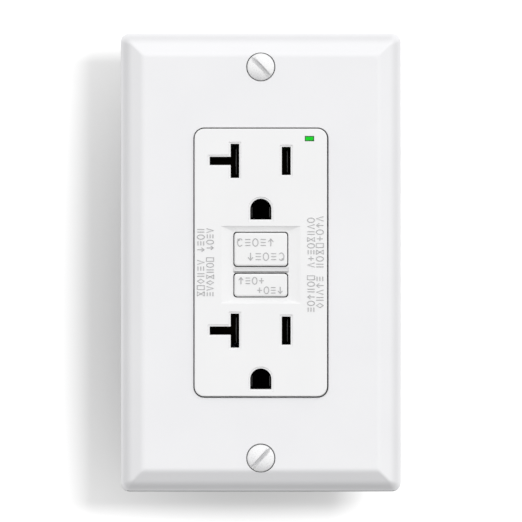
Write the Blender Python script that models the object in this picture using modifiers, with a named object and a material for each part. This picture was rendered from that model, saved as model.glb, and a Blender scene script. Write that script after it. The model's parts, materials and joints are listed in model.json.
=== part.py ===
# Duplex ground-fault outlet (20 A face) with its decorator wall plate: the solid model.
# Metres, +Z up. The origin is the middle of the plate on the wall plane, y = 0. The face looks
# along -Y and the device body reaches back into the wall box along +Y.
# The helpers below take millimetres and turn them into metres.

import math

import bmesh
import bpy
from mathutils import Matrix, Vector

MM = 0.001
GAP = 0.3            # air left between pieces that touch
ROUND_STEPS = 20     # sides of an ordinary round piece

# wall plate
PLATE_WIDTH = 69.85
PLATE_HEIGHT = 114.3
PLATE_FACE = -6.0
PLATE_CORNER = 2.0
PLATE_RIM = 1.6
PLATE_INNER = -3.8
PLATE_SCREW_Z = 48.42
PLATE_SCREW_HEAD = 3.34

# device face, flush in the plate's window
FACE_HALF_X = 16.4
FACE_HALF_Z = 33.12
FACE_CORNER = 2.4
FACE_Y = -6.6
FACE_INNER = -4.6
WINDOW_GAP = 0.3

# receptacle geometry
BLADE_X = 6.35
BLADE_Z = (25.14, -16.86)
GROUND_DROP = 11.97
GROUND_RADIUS = 2.6
GROUND_FLAT = 2.54
HALF_NAMES = ("upper", "lower")

# buttons
RESET_Z = 3.2
TEST_Z = -5.66
BUTTON_HALF_X = 6.5
RESET_HALF_Z = 4.1
TEST_HALF_Z = 2.8
BUTTON_HOLE_CORNER = 0.9
RECESS_Z = -0.68
RECESS_FLOOR = -5.88
COLLAR_Y = -4.0

# device body
BODY_HALF_X = 21.2
BODY_HALF_Z = 35.0
BODY_WALL = 1.6
SHOULDER_Y = -2.8
SPLIT_Y = 7.7
BODY_BACK = 28.0
STRAP_Y = (-1.2, 0.0)
BOX_SCREW_Z = 41.65
POSTS = [(x, z) for x in (-16.8, 16.8) for z in (-31.3, 31.3)]
POST_RADIUS = 2.5
POST_BORE = 1.55
GROUND_SCREW = (-13.6, 5.0)    # x and y of the grounding screw's axis
TERMINAL_Y = 15.0
TERMINAL_Z = {"load": 15.0, "line": -19.0}
TERMINAL_PAD_X = (18.3, 19.1)
CLIP_Y = (2.6, 12.0)
BUS_Y = (11.6, 12.3)
CONTACT_SPOT = (8.6, -1.0)     # x and z where a moving contact meets its bus
LATCH_THROW = 1.05             # how far the latch hole lies above the pin's axis
SENSOR_Z = -20.0
SOLENOID_Y = 18.6
PLUNGER_SPRING_Z = (25.9, 28.8)
BOARD_Y = (24.6, 26.0)
HINGE_Y = 13.5
HINGE_Z = -18.0
LEAF_HINGE_X = -7.0
LIGHT_X = 12.04
LIGHT_Z = 30.64

for old in list(bpy.data.objects):
    bpy.data.objects.remove(old, do_unlink=True)


def new_collection(name):
    group = bpy.data.collections.new(name)
    bpy.context.scene.collection.children.link(group)
    return group


PARTS = new_collection("gfci_outlet")
SHAPES = new_collection("cutters")


def material(name, colour, roughness, metallic=0.0):
    mat = bpy.data.materials.new(name)
    mat.use_nodes = True
    shader = mat.node_tree.nodes["Principled BSDF"]
    shader.inputs["Base Color"].default_value = (*colour, 1.0)
    shader.inputs["Roughness"].default_value = roughness
    shader.inputs["Metallic"].default_value = metallic
    mat.diffuse_color = (*colour, 1.0)
    return mat


WHITE = material("white_plastic", (0.86, 0.86, 0.87), 0.32)
SCREW_WHITE = material("white_enamel", (0.82, 0.82, 0.82), 0.3, 0.1)
BLACK = material("black_plastic", (0.02, 0.02, 0.022), 0.5)
GREY = material("grey_plastic", (0.42, 0.43, 0.45), 0.5)
GREEN_LENS = material("green_lens", (0.0, 0.55, 0.05), 0.2)
ZINC = material("zinc_steel", (0.6, 0.6, 0.58), 0.35, 0.9)
SPRING_STEEL = material("spring_steel", (0.5, 0.5, 0.5), 0.25, 1.0)
BRASS = material("brass", (0.72, 0.55, 0.25), 0.3, 1.0)
BRONZE = material("bronze", (0.66, 0.42, 0.25), 0.35, 1.0)
GREEN_ENAMEL = material("green_enamel", (0.03, 0.3, 0.1), 0.4, 0.2)
COPPER = material("copper_wire", (0.62, 0.24, 0.12), 0.35, 0.8)
BOARD = material("board_green", (0.03, 0.2, 0.08), 0.45)
FIBRE = material("red_fibre", (0.45, 0.1, 0.06), 0.8)
FERRITE = material("ferrite_coat", (0.1, 0.14, 0.3), 0.6)
CERAMIC = material("component_coat", (0.55, 0.25, 0.05), 0.5)


def shape(name, data, location=(0.0, 0.0, 0.0), rotation=(0.0, 0.0, 0.0)):
    """A working solid: it cuts or joins others until part() makes it a sub-part."""
    obj = bpy.data.objects.new(name, data)
    SHAPES.objects.link(obj)
    obj.location = location
    obj.rotation_euler = rotation
    obj.hide_render = True
    obj.display_type = "WIRE"
    return obj


def mesh_from(bm, name):
    mesh = bpy.data.meshes.new(name)
    bm.to_mesh(mesh)
    bm.free()
    return mesh


def block(x, y, z):
    """A box between a low and a high limit on each axis."""
    size = Vector([(high - low) * MM for low, high in (x, y, z)])
    centre = Vector([(high + low) * MM / 2 for low, high in (x, y, z)])
    bm = bmesh.new()
    bmesh.ops.create_cube(bm, size=1.0)
    bmesh.ops.scale(bm, vec=size, verts=bm.verts)
    return shape("block", mesh_from(bm, "block"), centre)


AXIS_TURN = {"X": (0.0, math.pi / 2, 0.0), "Y": (-math.pi / 2, 0.0, 0.0), "Z": (0.0, 0.0, 0.0)}


def axis_point(axis, centre, along):
    """The point at a distance along an axis that passes through centre, its other two coordinates."""
    first, second = centre
    if axis == "X":
        return Vector((along, first, second)) * MM
    if axis == "Y":
        return Vector((first, along, second)) * MM
    return Vector((first, second, along)) * MM


def rod(axis, centre, limits, radius, end_radius=None, steps=ROUND_STEPS):
    """A cylinder or cone along an axis, between two limits."""
    low, high = limits
    bm = bmesh.new()
    bmesh.ops.create_cone(
        bm,
        cap_ends=True,
        segments=steps,
        radius1=radius * MM,
        radius2=(radius if end_radius is None else end_radius) * MM,
        depth=(high - low) * MM,
    )
    mesh = mesh_from(bm, "rod")
    mesh.shade_smooth()
    mesh.set_sharp_from_angle(angle=math.radians(35))
    middle = axis_point(axis, centre, (low + high) / 2)
    return shape("rod", mesh, middle, AXIS_TURN[axis])


def turned(axis, centre, along, profile, steps=ROUND_STEPS, ring=False):
    """A turned piece: (radius, height) points down the outer side, spun about the axis."""
    points = [(radius * MM, 0.0, height * MM) for radius, height in profile]
    edges = [(i, i + 1) for i in range(len(points) - 1)]
    if ring:
        edges.append((len(points) - 1, 0))
    mesh = bpy.data.meshes.new("profile")
    mesh.from_pydata(points, edges, [])
    obj = shape("turned", mesh, axis_point(axis, centre, along), AXIS_TURN[axis])
    spin = obj.modifiers.new("spin", "SCREW")
    spin.axis = "Z"
    spin.steps = steps
    spin.render_steps = steps
    spin.use_merge_vertices = True
    spin.merge_threshold = 0.000005
    return obj


def outline(points, limits):
    """A flat outline, drawn in (x, z) and given a thickness along Y."""
    low, high = limits
    curve = bpy.data.curves.new("outline", "CURVE")
    curve.dimensions = "2D"
    curve.fill_mode = "BOTH"
    curve.extrude = (high - low) * MM / 2
    spline = curve.splines.new("POLY")
    spline.points.add(len(points) - 1)
    for spot, (u, v) in zip(spline.points, points):
        spot.co = (u * MM, v * MM, 0.0, 1.0)
    spline.use_cyclic_u = True
    middle = axis_point("Y", (0.0, 0.0), (low + high) / 2)
    return solid_from_curve(shape("outline", curve, middle, (math.pi / 2, 0.0, 0.0)))


def solid_from_curve(obj):
    """The closed mesh of a curve object, in its place."""
    bpy.context.view_layer.update()
    graph = bpy.context.evaluated_depsgraph_get()
    mesh = bpy.data.meshes.new_from_object(obj.evaluated_get(graph))
    bm = bmesh.new()
    bm.from_mesh(mesh)
    bmesh.ops.remove_doubles(bm, verts=bm.verts, dist=0.000002)
    bmesh.ops.recalc_face_normals(bm, faces=bm.faces)
    bm.to_mesh(mesh)
    bm.free()
    solid = shape(obj.name, mesh)
    solid.matrix_world = obj.matrix_world.copy()
    bpy.data.objects.remove(obj, do_unlink=True)
    return solid


def coil(centre, y_low, y_high, radius, wire, turns, axis="Y"):
    """A closed-ended compression spring along Y or Z."""
    steps = int(turns * 12)
    curve = bpy.data.curves.new("coil", "CURVE")
    curve.dimensions = "3D"
    curve.bevel_depth = wire * MM
    curve.bevel_resolution = 2
    curve.use_fill_caps = True
    spline = curve.splines.new("POLY")
    spline.points.add(steps)
    for i, spot in enumerate(spline.points):
        angle = 2 * math.pi * turns * i / steps
        u = radius * math.cos(angle)
        v = radius * math.sin(angle)
        along = y_low + wire + (y_high - y_low - 2 * wire) * i / steps
        if axis == "Y":
            place = (centre[0] + u, along, centre[1] + v)
        else:
            place = (centre[0] + u, centre[1] + v, along)
        spot.co = (*(Vector(place) * MM), 1.0)
    return solid_from_curve(shape("coil", curve))


def corner_ring(half_x, half_z, radius, steps):
    """Points of a rounded rectangle, round from the lower right corner."""
    ring = []
    for quarter, (sx, sz) in enumerate(((1, -1), (1, 1), (-1, 1), (-1, -1))):
        start = -math.pi / 2 + quarter * math.pi / 2
        for step in range(steps + 1):
            angle = start + math.pi / 2 * (step / steps if steps else 0.5)
            spread = radius if steps else 0.0
            x = sx * (half_x - spread) + spread * math.cos(angle)
            z = sz * (half_z - spread) + spread * math.sin(angle)
            ring.append((x, z))
    return ring


def loft(centre, sections, steps=3):
    """A solid through rounded rectangles (y, half width, half height, corner), front to back."""
    bm = bmesh.new()
    rings = []
    for y, half_x, half_z, radius in sections:
        points = corner_ring(half_x, half_z, radius, steps)
        rings.append([bm.verts.new(Vector((x, y, z)) * MM) for x, z in points])
    count = len(rings[0])
    for front, back in zip(rings, rings[1:]):
        for i in range(count):
            j = (i + 1) % count
            bm.faces.new((front[i], front[j], back[j], back[i]))
    bm.faces.new(rings[0])
    bm.faces.new(list(reversed(rings[-1])))
    bmesh.ops.recalc_face_normals(bm, faces=bm.faces)
    x, z = centre
    return shape("loft", mesh_from(bm, "loft"), Vector((x, 0.0, z)) * MM)


def combine(target, others, operation, label):
    for other in others:
        step = target.modifiers.new(label, "BOOLEAN")
        step.operation = operation
        step.solver = "EXACT"
        step.object = other
    return target


def cut(target, *others):
    return combine(target, others, "DIFFERENCE", "cut")


def join(target, *others):
    return combine(target, others, "UNION", "join")


def mirrored(values, side):
    """Limits or a point's x turned over to the other side of the device where side is -1."""
    low, high = sorted((values[0] * side, values[1] * side))
    return (low, high)


def side_block(side, x, y, z):
    return block(mirrored(x, side), y, z)


def part(name, obj, finish, hinge=None):
    """Makes a working solid the named sub-part, with its own material and origin."""
    if hinge is not None:
        point = Vector(hinge) * MM
        bpy.context.view_layer.update()
        shift = Matrix.Translation(-point) @ obj.matrix_world
        obj.data.transform(shift)
        obj.matrix_world = Matrix.Translation(point)
    SHAPES.objects.unlink(obj)
    PARTS.objects.link(obj)
    obj.name = name
    obj.hide_render = False
    obj.display_type = "TEXTURED"
    obj.data.materials.clear()
    obj.data.materials.append(finish)
    return obj


def group(name, place, members):
    """An empty on a moving body's axis that carries the body's pieces."""
    empty = bpy.data.objects.new(name, None)
    PARTS.objects.link(empty)
    empty.location = Vector(place) * MM
    for member in members:
        member.parent = empty
        member.matrix_parent_inverse = Matrix.Translation(-empty.location)
    return empty


def ground_outline(radius, flat, centre_z, steps=10):
    """The D of a grounding hole: a half round above, a flat below."""
    points = [(-radius, centre_z - flat), (radius, centre_z - flat)]
    for i in range(steps + 1):
        angle = math.pi * i / steps
        points.append((radius * math.cos(angle), centre_z + radius * math.sin(angle)))
    return points


def blade_cuts(blade_z, y, spread=0.0):
    """The three blade slots of one receptacle: the hot slot and the T-shaped neutral."""
    hot = block((5.24 - spread, 7.39 + spread), y, (blade_z - 3.49 - spread, blade_z + 3.49 + spread))
    upright = block((-7.39 - spread, -5.36 + spread), y, (blade_z - 4.22 - spread, blade_z + 4.22 + spread))
    arm = block((-12.66 - spread, -6.4), y, (blade_z - 1.04 - spread, blade_z + 1.04 + spread))
    return hot, upright, arm


# ---- wall plate and its screws


def make_wall_plate():
    half_x = PLATE_WIDTH / 2
    half_z = PLATE_HEIGHT / 2
    sections = [
        (PLATE_FACE, half_x - 6.2, half_z - 6.2, 0.2),
        (-5.85, half_x - 5.8, half_z - 5.8, 0.3),
        (-3.9, half_x - 2.8, half_z - 2.8, 0.6),
        (-2.4, half_x - 1.5, half_z - 1.5, 1.2),
        (-0.5, half_x, half_z, PLATE_CORNER),
        (0.0, half_x, half_z, PLATE_CORNER),
    ]
    plate = loft((0, 0), sections, 2)
    hollow = loft(
        (0, 0),
        [
            (PLATE_INNER, half_x - 6.4, half_z - 6.4, 0.4),
            (-2.0, half_x - 3.5, half_z - 3.5, 0.6),
            (0.0, half_x - PLATE_RIM, half_z - PLATE_RIM, 0.8),
            (1.0, half_x - PLATE_RIM, half_z - PLATE_RIM, 0.8),
        ],
        1,
    )
    window_x = FACE_HALF_X + WINDOW_GAP
    window_z = FACE_HALF_Z + WINDOW_GAP
    window_r = FACE_CORNER + WINDOW_GAP
    window = loft((0, 0), [(-7.5, window_x, window_z, window_r), (1.0, window_x, window_z, window_r)])
    cut(plate, hollow, window)
    for sign in (1, -1):
        centre = (0, sign * PLATE_SCREW_Z)
        join(plate, rod("Y", centre, (PLATE_INNER - 0.4, STRAP_Y[0] - GAP), 3.0))
    for sign in (1, -1):
        centre = (0, sign * PLATE_SCREW_Z)
        hole = rod("Y", centre, (-8.0, 0.5), 2.15)
        sink = rod("Y", centre, (PLATE_FACE - 0.2, -4.3), PLATE_SCREW_HEAD + 0.3, 1.9)
        cut(plate, hole, sink)
    return part("wall_plate", plate, WHITE)


def make_plate_screw(name, sign, slot_angle):
    """An oval-head 6-32 screw, slotted, seated in the plate's countersink."""
    centre = (0, sign * PLATE_SCREW_Z)
    profile = [
        (0.0, 0.0),
        (1.75, 0.0),
        (1.75, 14.2),
        (PLATE_SCREW_HEAD, 15.95),
        (PLATE_SCREW_HEAD, 16.15),
        (2.6, 16.7),
        (1.3, 17.0),
        (0.0, 17.1),
    ]
    # the profile is drawn from the tip up and turned over, so that the head is towards -Y
    drawn = [(radius, -height) for radius, height in profile]
    tip_y = 10.0
    screw = turned("Y", centre, tip_y, drawn, 24)
    slot = block((-0.45, 0.45), (-7.6, -6.05), (-4.2, 4.2))
    slot.location.z = centre[1] * MM
    slot.rotation_euler = (0.0, math.radians(slot_angle), 0.0)
    cut(screw, slot)
    return part(name, screw, SCREW_WHITE)


# ---- device shells


def button_hole(centre_z, half_z):
    """The cutter for a button's hole through the cover."""
    section = (BUTTON_HALF_X + GAP, half_z + GAP, BUTTON_HOLE_CORNER)
    return loft((0, centre_z), [(FACE_Y - 0.4, *section), (-3.0, *section)], 2)


def make_front_cover():
    """The white face and the shell round the front half of the device."""
    cover = block((-BODY_HALF_X, BODY_HALF_X), (SHOULDER_Y, SPLIT_Y), (-BODY_HALF_Z, BODY_HALF_Z))
    face = loft(
        (0, 0),
        [
            (FACE_Y, FACE_HALF_X - 0.25, FACE_HALF_Z - 0.25, FACE_CORNER - 0.2),
            (FACE_Y + 0.25, FACE_HALF_X, FACE_HALF_Z, FACE_CORNER),
            (SHOULDER_Y + 0.5, FACE_HALF_X, FACE_HALF_Z, FACE_CORNER),
        ],
    )
    join(cover, face)
    inner_x = BODY_HALF_X - BODY_WALL
    inner_z = BODY_HALF_Z - BODY_WALL
    hollow = block((-inner_x, inner_x), (-1.5, SPLIT_Y + 1), (-inner_z, inner_z))
    face_hollow = block((-14.9, 14.9), (FACE_INNER, 0.0), (-32.4, 31.9))
    cut(cover, face_hollow, hollow)
    collar = block((-8.4, 8.4), (FACE_INNER - 0.3, COLLAR_Y), (-9.5, 8.3))
    join(cover, collar)
    for post in POSTS:
        join(cover, rod("Y", post, (-1.9, SPLIT_Y - 0.1), POST_RADIUS, steps=12))
    recess = loft(
        (0, RECESS_Z),
        [
            (FACE_Y - 0.6, 11.5, 10.2, 0.0),
            (FACE_Y, 10.0, 9.55, 0.0),
            (RECESS_FLOOR, 7.15, 8.35, 0.0),
        ],
        0,
    )
    cut(cover, recess)
    cut(
        cover,
        button_hole(RESET_Z, RESET_HALF_Z),
        button_hole(TEST_Z, TEST_HALF_Z),
        block((LIGHT_X - 1.3, LIGHT_X + 1.3), (-7.5, 1.0), (LIGHT_Z - 0.8, LIGHT_Z + 0.8)),
    )
    through = (FACE_Y - 1, FACE_INNER + 0.5)
    for blade_z in BLADE_Z:
        hot, upright, arm = blade_cuts(blade_z, through)
        ground_z = blade_z - GROUND_DROP
        hole = outline(ground_outline(GROUND_RADIUS, GROUND_FLAT, ground_z), through)
        cut(cover, hot, join(upright, arm), hole)
    for sign in (1, -1):
        notch = mirrored((inner_z - 0.5, BODY_HALF_Z + 1), sign)
        cut(cover, block((-10.3, 10.3), (STRAP_Y[0] - GAP, SPLIT_Y + 1), notch))
    for post in POSTS:
        cut(cover, rod("Y", post, (0.6, SPLIT_Y + 1), POST_BORE, steps=12))
    cut(cover, rod("Z", GROUND_SCREW, (-BODY_HALF_Z - 1, -inner_z + 1), 2.4, steps=16))
    return part("front_cover", cover, WHITE)


def make_back_body():
    """The rear shell, with side windows for the terminals and wire holes in its back."""
    start = SPLIT_Y + GAP
    inner_x = BODY_HALF_X - BODY_WALL
    inner_z = BODY_HALF_Z - BODY_WALL
    body = block((-BODY_HALF_X, BODY_HALF_X), (start, BODY_BACK), (-BODY_HALF_Z, BODY_HALF_Z))
    cut(body, block((-inner_x, inner_x), (start - 1, BODY_BACK - BODY_WALL), (-inner_z, inner_z)))
    for sign in (1, -1):
        tongue = mirrored((inner_z + 0.1, BODY_HALF_Z - 0.1), sign)
        join(body, block((-10.0, 10.0), (STRAP_Y[1] + GAP, start + 1), tongue))
    for post in POSTS:
        join(body, rod("Y", post, (start + 0.2, BODY_BACK - 0.4), POST_RADIUS, steps=12))
    for post in POSTS:
        bore = rod("Y", post, (start - 1, BODY_BACK + 1), POST_BORE, steps=12)
        seat = rod("Y", post, (BODY_BACK - 1.7, BODY_BACK + 1.5), 2.4, 3.4, steps=12)
        cut(body, bore, seat)
    for side in (-1, 1):
        for z in TERMINAL_Z.values():
            window = side_block(side, (inner_x - 1, BODY_HALF_X + 1), (9.8, 20.2), (z - 5.5, z + 5.5))
            cut(body, window)
            for offset in (-3.6, 3.6):
                hole = rod("Y", (side * 17.2, z + offset), (BODY_BACK - 3, BODY_BACK + 1), 1.3, steps=10)
                cut(body, hole)
    return part("back_body", body, GREY)


def make_assembly_screw(name, x, z):
    """A flat-head screw that clamps the rear shell to the front one."""
    screw = rod("Y", (x, z), (1.4, BODY_BACK - 1.0), POST_BORE - GAP, steps=10)
    join(screw, rod("Y", (x, z), (BODY_BACK - 1.35, BODY_BACK - 0.1), 1.9, 2.75, steps=14))
    slot_a = block((x - 1.6, x + 1.6), (BODY_BACK - 0.7, BODY_BACK + 1), (z - 0.3, z + 0.3))
    slot_b = block((x - 0.3, x + 0.3), (BODY_BACK - 0.7, BODY_BACK + 1), (z - 1.6, z + 1.6))
    cut(screw, slot_a, slot_b)
    return part(name, screw, ZINC)


def make_strap():
    """The yoke: its ears carry the device on the wall box and take the plate's screws."""
    strap = block((-17.0, 17.0), STRAP_Y, (-33.1, 33.1))
    join(strap, block((-9.7, 9.7), STRAP_Y, (-40.0, 40.0)))
    for sign in (1, -1):
        join(strap, block((-19.0, 19.0), STRAP_Y, mirrored((38.5, 52.5), sign)))
    tab = block((-17.0, -10.3), (-0.9, 9.5), (-36.5, -35.6))
    join(tab, block((-16.9, -9.0), (-1.1, -0.1), (-37.4, -35.7)))
    cut(tab, rod("Z", GROUND_SCREW, (-38.0, -34.0), 2.2, steps=12))
    y = (STRAP_Y[0] - 1, STRAP_Y[1] + 1)
    for blade_z in BLADE_Z:
        ground_z = blade_z - GROUND_DROP
        cut(
            strap,
            block((-14.3, -3.7), y, (blade_z - 5.8, blade_z + 5.8)),
            block((3.7, 8.9), y, (blade_z - 5.0, blade_z + 5.0)),
            block((-5.5, 5.5), y, (ground_z - 3.6, ground_z + 4.9)),
        )
    cut(strap, block((-8.5, 8.5), y, (-10.3, 9.6)))
    cut(strap, block((LIGHT_X - 1.5, LIGHT_X + 1.5), y, (LIGHT_Z - 1.0, LIGHT_Z + 1.0)))
    for sign in (1, -1):
        cut(strap, rod("Y", (0, sign * PLATE_SCREW_Z), y, 2.05, steps=16))
        low, high = mirrored((BOX_SCREW_Z - 2.05, BOX_SCREW_Z + 2.05), sign)
        cut(strap, block((-3.0, 3.0), y, (low, high)))
    for post in POSTS:
        cut(strap, rod("Y", post, y, POST_RADIUS + 0.35, steps=12))
    return part("mounting_strap", join(strap, tab), ZINC)


def make_ground_screw():
    """The green grounding screw on the strap's tab; its axis points down."""
    screw = rod("Z", GROUND_SCREW, (-39.6, -36.8), 3.9, steps=16)
    join(screw, rod("Z", GROUND_SCREW, (-37.0, -34.1), 1.9, steps=12))
    cut(screw, block((-18.0, -9.0), (4.4, 5.6), (-41.0, -38.4)))
    return part("ground_screw", screw, GREEN_ENAMEL)


def make_box_screw(name, sign):
    """A 6-32 screw that holds an ear of the strap to the wall box."""
    centre = (0, sign * BOX_SCREW_Z)
    screw = rod("Y", centre, (-3.4, -1.5), 3.0, 3.3, steps=16)
    join(screw, rod("Y", centre, (-2.0, 20.0), 1.7, steps=12))
    slot = block((-4.0, 4.0), (-4.0, -2.4), (centre[1] - 0.5, centre[1] + 0.5))
    cut(screw, slot)
    return part(name, screw, ZINC)


def make_screw_washer(name, sign):
    """The fibre washer that keeps a box screw on the strap."""
    z = sign * BOX_SCREW_Z
    washer = block((-4.2, 4.2), (0.3, 0.9), (z - 3.4, z + 3.4))
    cut(washer, rod("Y", (0, z), (-1.0, 2.0), 2.0, steps=12))
    return part(name, washer, FIBRE)


# ---- inner frame and conductors


def make_middle_frame():
    """The black inner frame: a base behind the strap, with a well behind every slot."""
    frame = block((-19.2, 19.2), (0.3, 2.0), (-33.0, 33.0))
    well_y = (-4.3, 1.0)
    bore_y = (-6.0, 3.0)
    for blade_z in BLADE_Z:
        ground_z = blade_z - GROUND_DROP
        join(frame, block((-14.0, -4.0), well_y, (blade_z - 5.5, blade_z + 5.5)))
        join(frame, block((4.2, 8.6), well_y, (blade_z - 4.7, blade_z + 4.7)))
        join(frame, block((-5.2, 5.2), well_y, (ground_z - 3.3, ground_z + 4.6)))
    for blade_z in BLADE_Z:
        ground_z = blade_z - GROUND_DROP
        hot, upright, arm = blade_cuts(blade_z, bore_y, 0.1)
        hole = outline(ground_outline(GROUND_RADIUS + 0.15, GROUND_FLAT + 0.1, ground_z), bore_y)
        pocket = block((-3.55, 3.55), (-0.2, 3.0), (ground_z - 2.9, ground_z + 4.1))
        channel = block((-3.55, 3.55), (-0.5, 1.4), (ground_z + 2.0, ground_z + 9.8))
        cut(frame, hot, join(upright, arm), hole, pocket, channel)
    cut(frame, block((-8.3, 5.0), (-1.0, 3.0), (-8.8, -2.9)))
    cut(frame, rod("Y", (0, RESET_Z), (-1.0, 3.0), 1.6, steps=16))
    light = block((LIGHT_X - 1.4, LIGHT_X + 1.4), (-1.0, 3.0), (LIGHT_Z - 0.9, LIGHT_Z + 0.9))
    cut(frame, light)
    for x, z in POSTS:
        cut(frame, block((x - 2.9, x + 2.9), (-1.0, 3.0), (z - 2.9, z + 2.9)))
    return part("middle_frame", frame, BLACK)


def make_ground_contact(name, blade_z):
    """A bronze channel that grips the grounding pin, with its tab on the strap."""
    z = blade_z - GROUND_DROP
    leaf_z = (z - 2.6, z + 3.6)
    contact = block((-3.25, 3.25), (0.3, 10.5), (z + 3.0, z + 3.8))
    join(
        contact,
        block((-3.2, -2.45), (2.6, 10.4), leaf_z),
        block((2.45, 3.2), (2.6, 10.4), leaf_z),
        block((-3.25, 3.25), (0.35, 1.15), (z + 3.4, z + 9.5)),
    )
    return part(name, contact, BRONZE)


def upright_clip(bus, side, blade_z, split):
    """Two leaves that grip an upright blade; the outer one is split for a T blade."""
    inner = (BLADE_X - 1.5, BLADE_X - 0.9)
    outer = (BLADE_X + 0.9, BLADE_X + 1.5)
    join(bus, side_block(side, inner, CLIP_Y, (blade_z - 3.4, blade_z + 3.4)))
    if split:
        join(bus, side_block(side, outer, CLIP_Y, (blade_z + 1.4, blade_z + 3.4)))
        join(bus, side_block(side, outer, CLIP_Y, (blade_z - 3.4, blade_z - 1.4)))
        for low in (0.9, -1.5):
            leaf_z = (blade_z + low, blade_z + low + 0.6)
            join(bus, side_block(side, (BLADE_X + 1.0, 12.6), CLIP_Y, leaf_z))
        join(bus, side_block(side, (BLADE_X, 12.5), BUS_Y, (blade_z - 1.4, blade_z + 1.4)))
    else:
        join(bus, side_block(side, outer, CLIP_Y, (blade_z - 3.4, blade_z + 3.4)))


def make_face_bus(name, side, split):
    """The brass bus from both receptacles' clips to the load terminal, with the fixed contact."""
    strip_x = (BLADE_X - 1.6, BLADE_X + 1.6)
    bus = side_block(side, strip_x, BUS_Y, (-20.3, 28.6))
    for blade_z in BLADE_Z:
        upright_clip(bus, side, blade_z, split)
    load_z = TERMINAL_Z["load"]
    join(bus, side_block(side, (6.0, 19.0), BUS_Y, (load_z + 5.6, load_z + 8.9)))
    terminal = side_block(side, TERMINAL_PAD_X, (9.6, 20.4), (load_z - 5.4, load_z + 9.0))
    join(bus, terminal)
    join(bus, side_block(side, (7.0, 10.2), BUS_Y, (-3.0, 1.0)))
    contact_x, contact_z = CONTACT_SPOT
    join(bus, rod("Y", (side * contact_x, contact_z), (12.0, 12.6), 1.4, steps=10))
    cut(bus, rod("X", (TERMINAL_Y, load_z), mirrored((17.0, 20.0), side), 2.5, steps=12))
    return part(name, bus, BRASS)


def make_line_bar(name, side):
    """The brass bar from a line terminal, round the back and forward through both sensors."""
    z = TERMINAL_Z["line"]
    bar = side_block(side, TERMINAL_PAD_X, (9.6, 22.6), (z - 5.4, z + 5.4))
    join(bar, side_block(side, (0.8, 18.8), (22.0, 22.7), (z - 2.4, z + 0.4)))
    join(bar, side_block(side, (0.9, 2.4), (14.2, 22.4), (z - 2.4, z + 0.4)))
    cut(bar, rod("X", (TERMINAL_Y, z), mirrored((17.0, 20.0), side), 2.5, steps=12))
    return part(name, bar, BRASS)


def make_line_arm(name, side):
    """The springy moving contact arm of one line."""
    points = [(0.8, -21.4), (2.6, -21.4), (2.6, -18.4), (10.2, -4.5), (10.2, 1.0), (7.0, 1.0), (7.0, -4.0)]
    points.append((0.8, -17.0))
    arm = outline([(side * x, z) for x, z in points], (13.2, 13.9))
    contact_x, contact_z = CONTACT_SPOT
    join(arm, rod("Y", (side * contact_x, contact_z), (12.9, 13.6), 1.4, steps=10))
    return part(name, arm, BRONZE, hinge=(side * 1.7, HINGE_Y, HINGE_Z))


def make_terminal_screw(name, side, z):
    """An 8-32 binding screw; its head stands in the side window."""
    screw = rod("X", (TERMINAL_Y, z), mirrored((19.4, 21.9), side), 4.2, steps=20)
    join(screw, rod("X", (TERMINAL_Y, z), mirrored((13.9, 20.0), side), 2.05, steps=12))
    cut(
        screw,
        side_block(side, (20.9, 23.0), (TERMINAL_Y - 3.2, TERMINAL_Y + 3.2), (z - 0.55, z + 0.55)),
        side_block(side, (20.9, 23.0), (TERMINAL_Y - 0.55, TERMINAL_Y + 0.55), (z - 3.2, z + 3.2)),
    )
    finish = BRASS if side > 0 else ZINC
    return part(name, screw, finish, hinge=(side * 19.4, TERMINAL_Y, z))


def make_clamp_plate(name, side, z):
    """The plate behind a terminal that clamps a wire from the back."""
    plate = side_block(side, (16.4, 17.9), (10.7, 19.3), (z - 4.3, z + 4.3))
    cut(plate, rod("X", (TERMINAL_Y, z), mirrored((15.0, 19.0), side), 2.4, steps=12))
    return part(name, plate, ZINC)


# ---- buttons, trip mechanism


def make_reset_button():
    """The hollow cap with stop flanges; its spring sits inside it."""
    cap = loft(
        (0, RESET_Z),
        [
            (-6.5, BUTTON_HALF_X - 0.25, RESET_HALF_Z - 0.25, 0.5),
            (-6.25, BUTTON_HALF_X, RESET_HALF_Z, 0.7),
            (-0.4, BUTTON_HALF_X, RESET_HALF_Z, 0.7),
        ],
        2,
    )
    flange = block((-7.9, 7.9), (-1.4, -0.5), (RESET_Z - 3.3, RESET_Z + 3.3))
    join(cap, flange)
    cut(cap, block((-5.4, 5.4), (-5.4, 1.0), (RESET_Z - 3.0, RESET_Z + 3.0)))
    return part("reset_button", cap, WHITE)


def make_reset_pin():
    """The steel pin that carries the latch groove."""
    profile = [(0.0, 18.5), (0.8, 18.5), (1.2, 18.0), (1.2, 17.4), (0.8, 17.2), (0.8, 16.4)]
    profile += [(1.2, 16.2), (1.2, -5.1), (0.0, -5.1)]
    return part("reset_pin", turned("Y", (0, RESET_Z), 0.0, profile, 12), ZINC)


def make_test_button():
    """The test cap, with a post behind it that reaches the leaf."""
    cap = loft(
        (0, TEST_Z),
        [
            (-6.4, BUTTON_HALF_X - 0.25, TEST_HALF_Z - 0.25, 0.5),
            (-6.15, BUTTON_HALF_X, TEST_HALF_Z, 0.7),
            (-2.9, BUTTON_HALF_X, TEST_HALF_Z, 0.7),
        ],
        2,
    )
    join(cap, block((-7.9, 7.9), (-3.7, -3.0), (TEST_Z - 2.2, TEST_Z + 2.2)))
    join(cap, rod("Y", (0, TEST_Z), (-3.2, -1.7), 1.2, steps=12))
    return part("test_button", cap, WHITE)


def make_test_leaf():
    """The bronze leaf that the test button bends on to its contact pin."""
    leaf = block((LEAF_HINGE_X - 0.2, 3.0), (-1.4, -1.15), (TEST_Z - 1.6, TEST_Z + 1.6))
    return part("test_leaf", leaf, BRONZE, hinge=(LEAF_HINGE_X, -1.275, TEST_Z))


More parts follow.
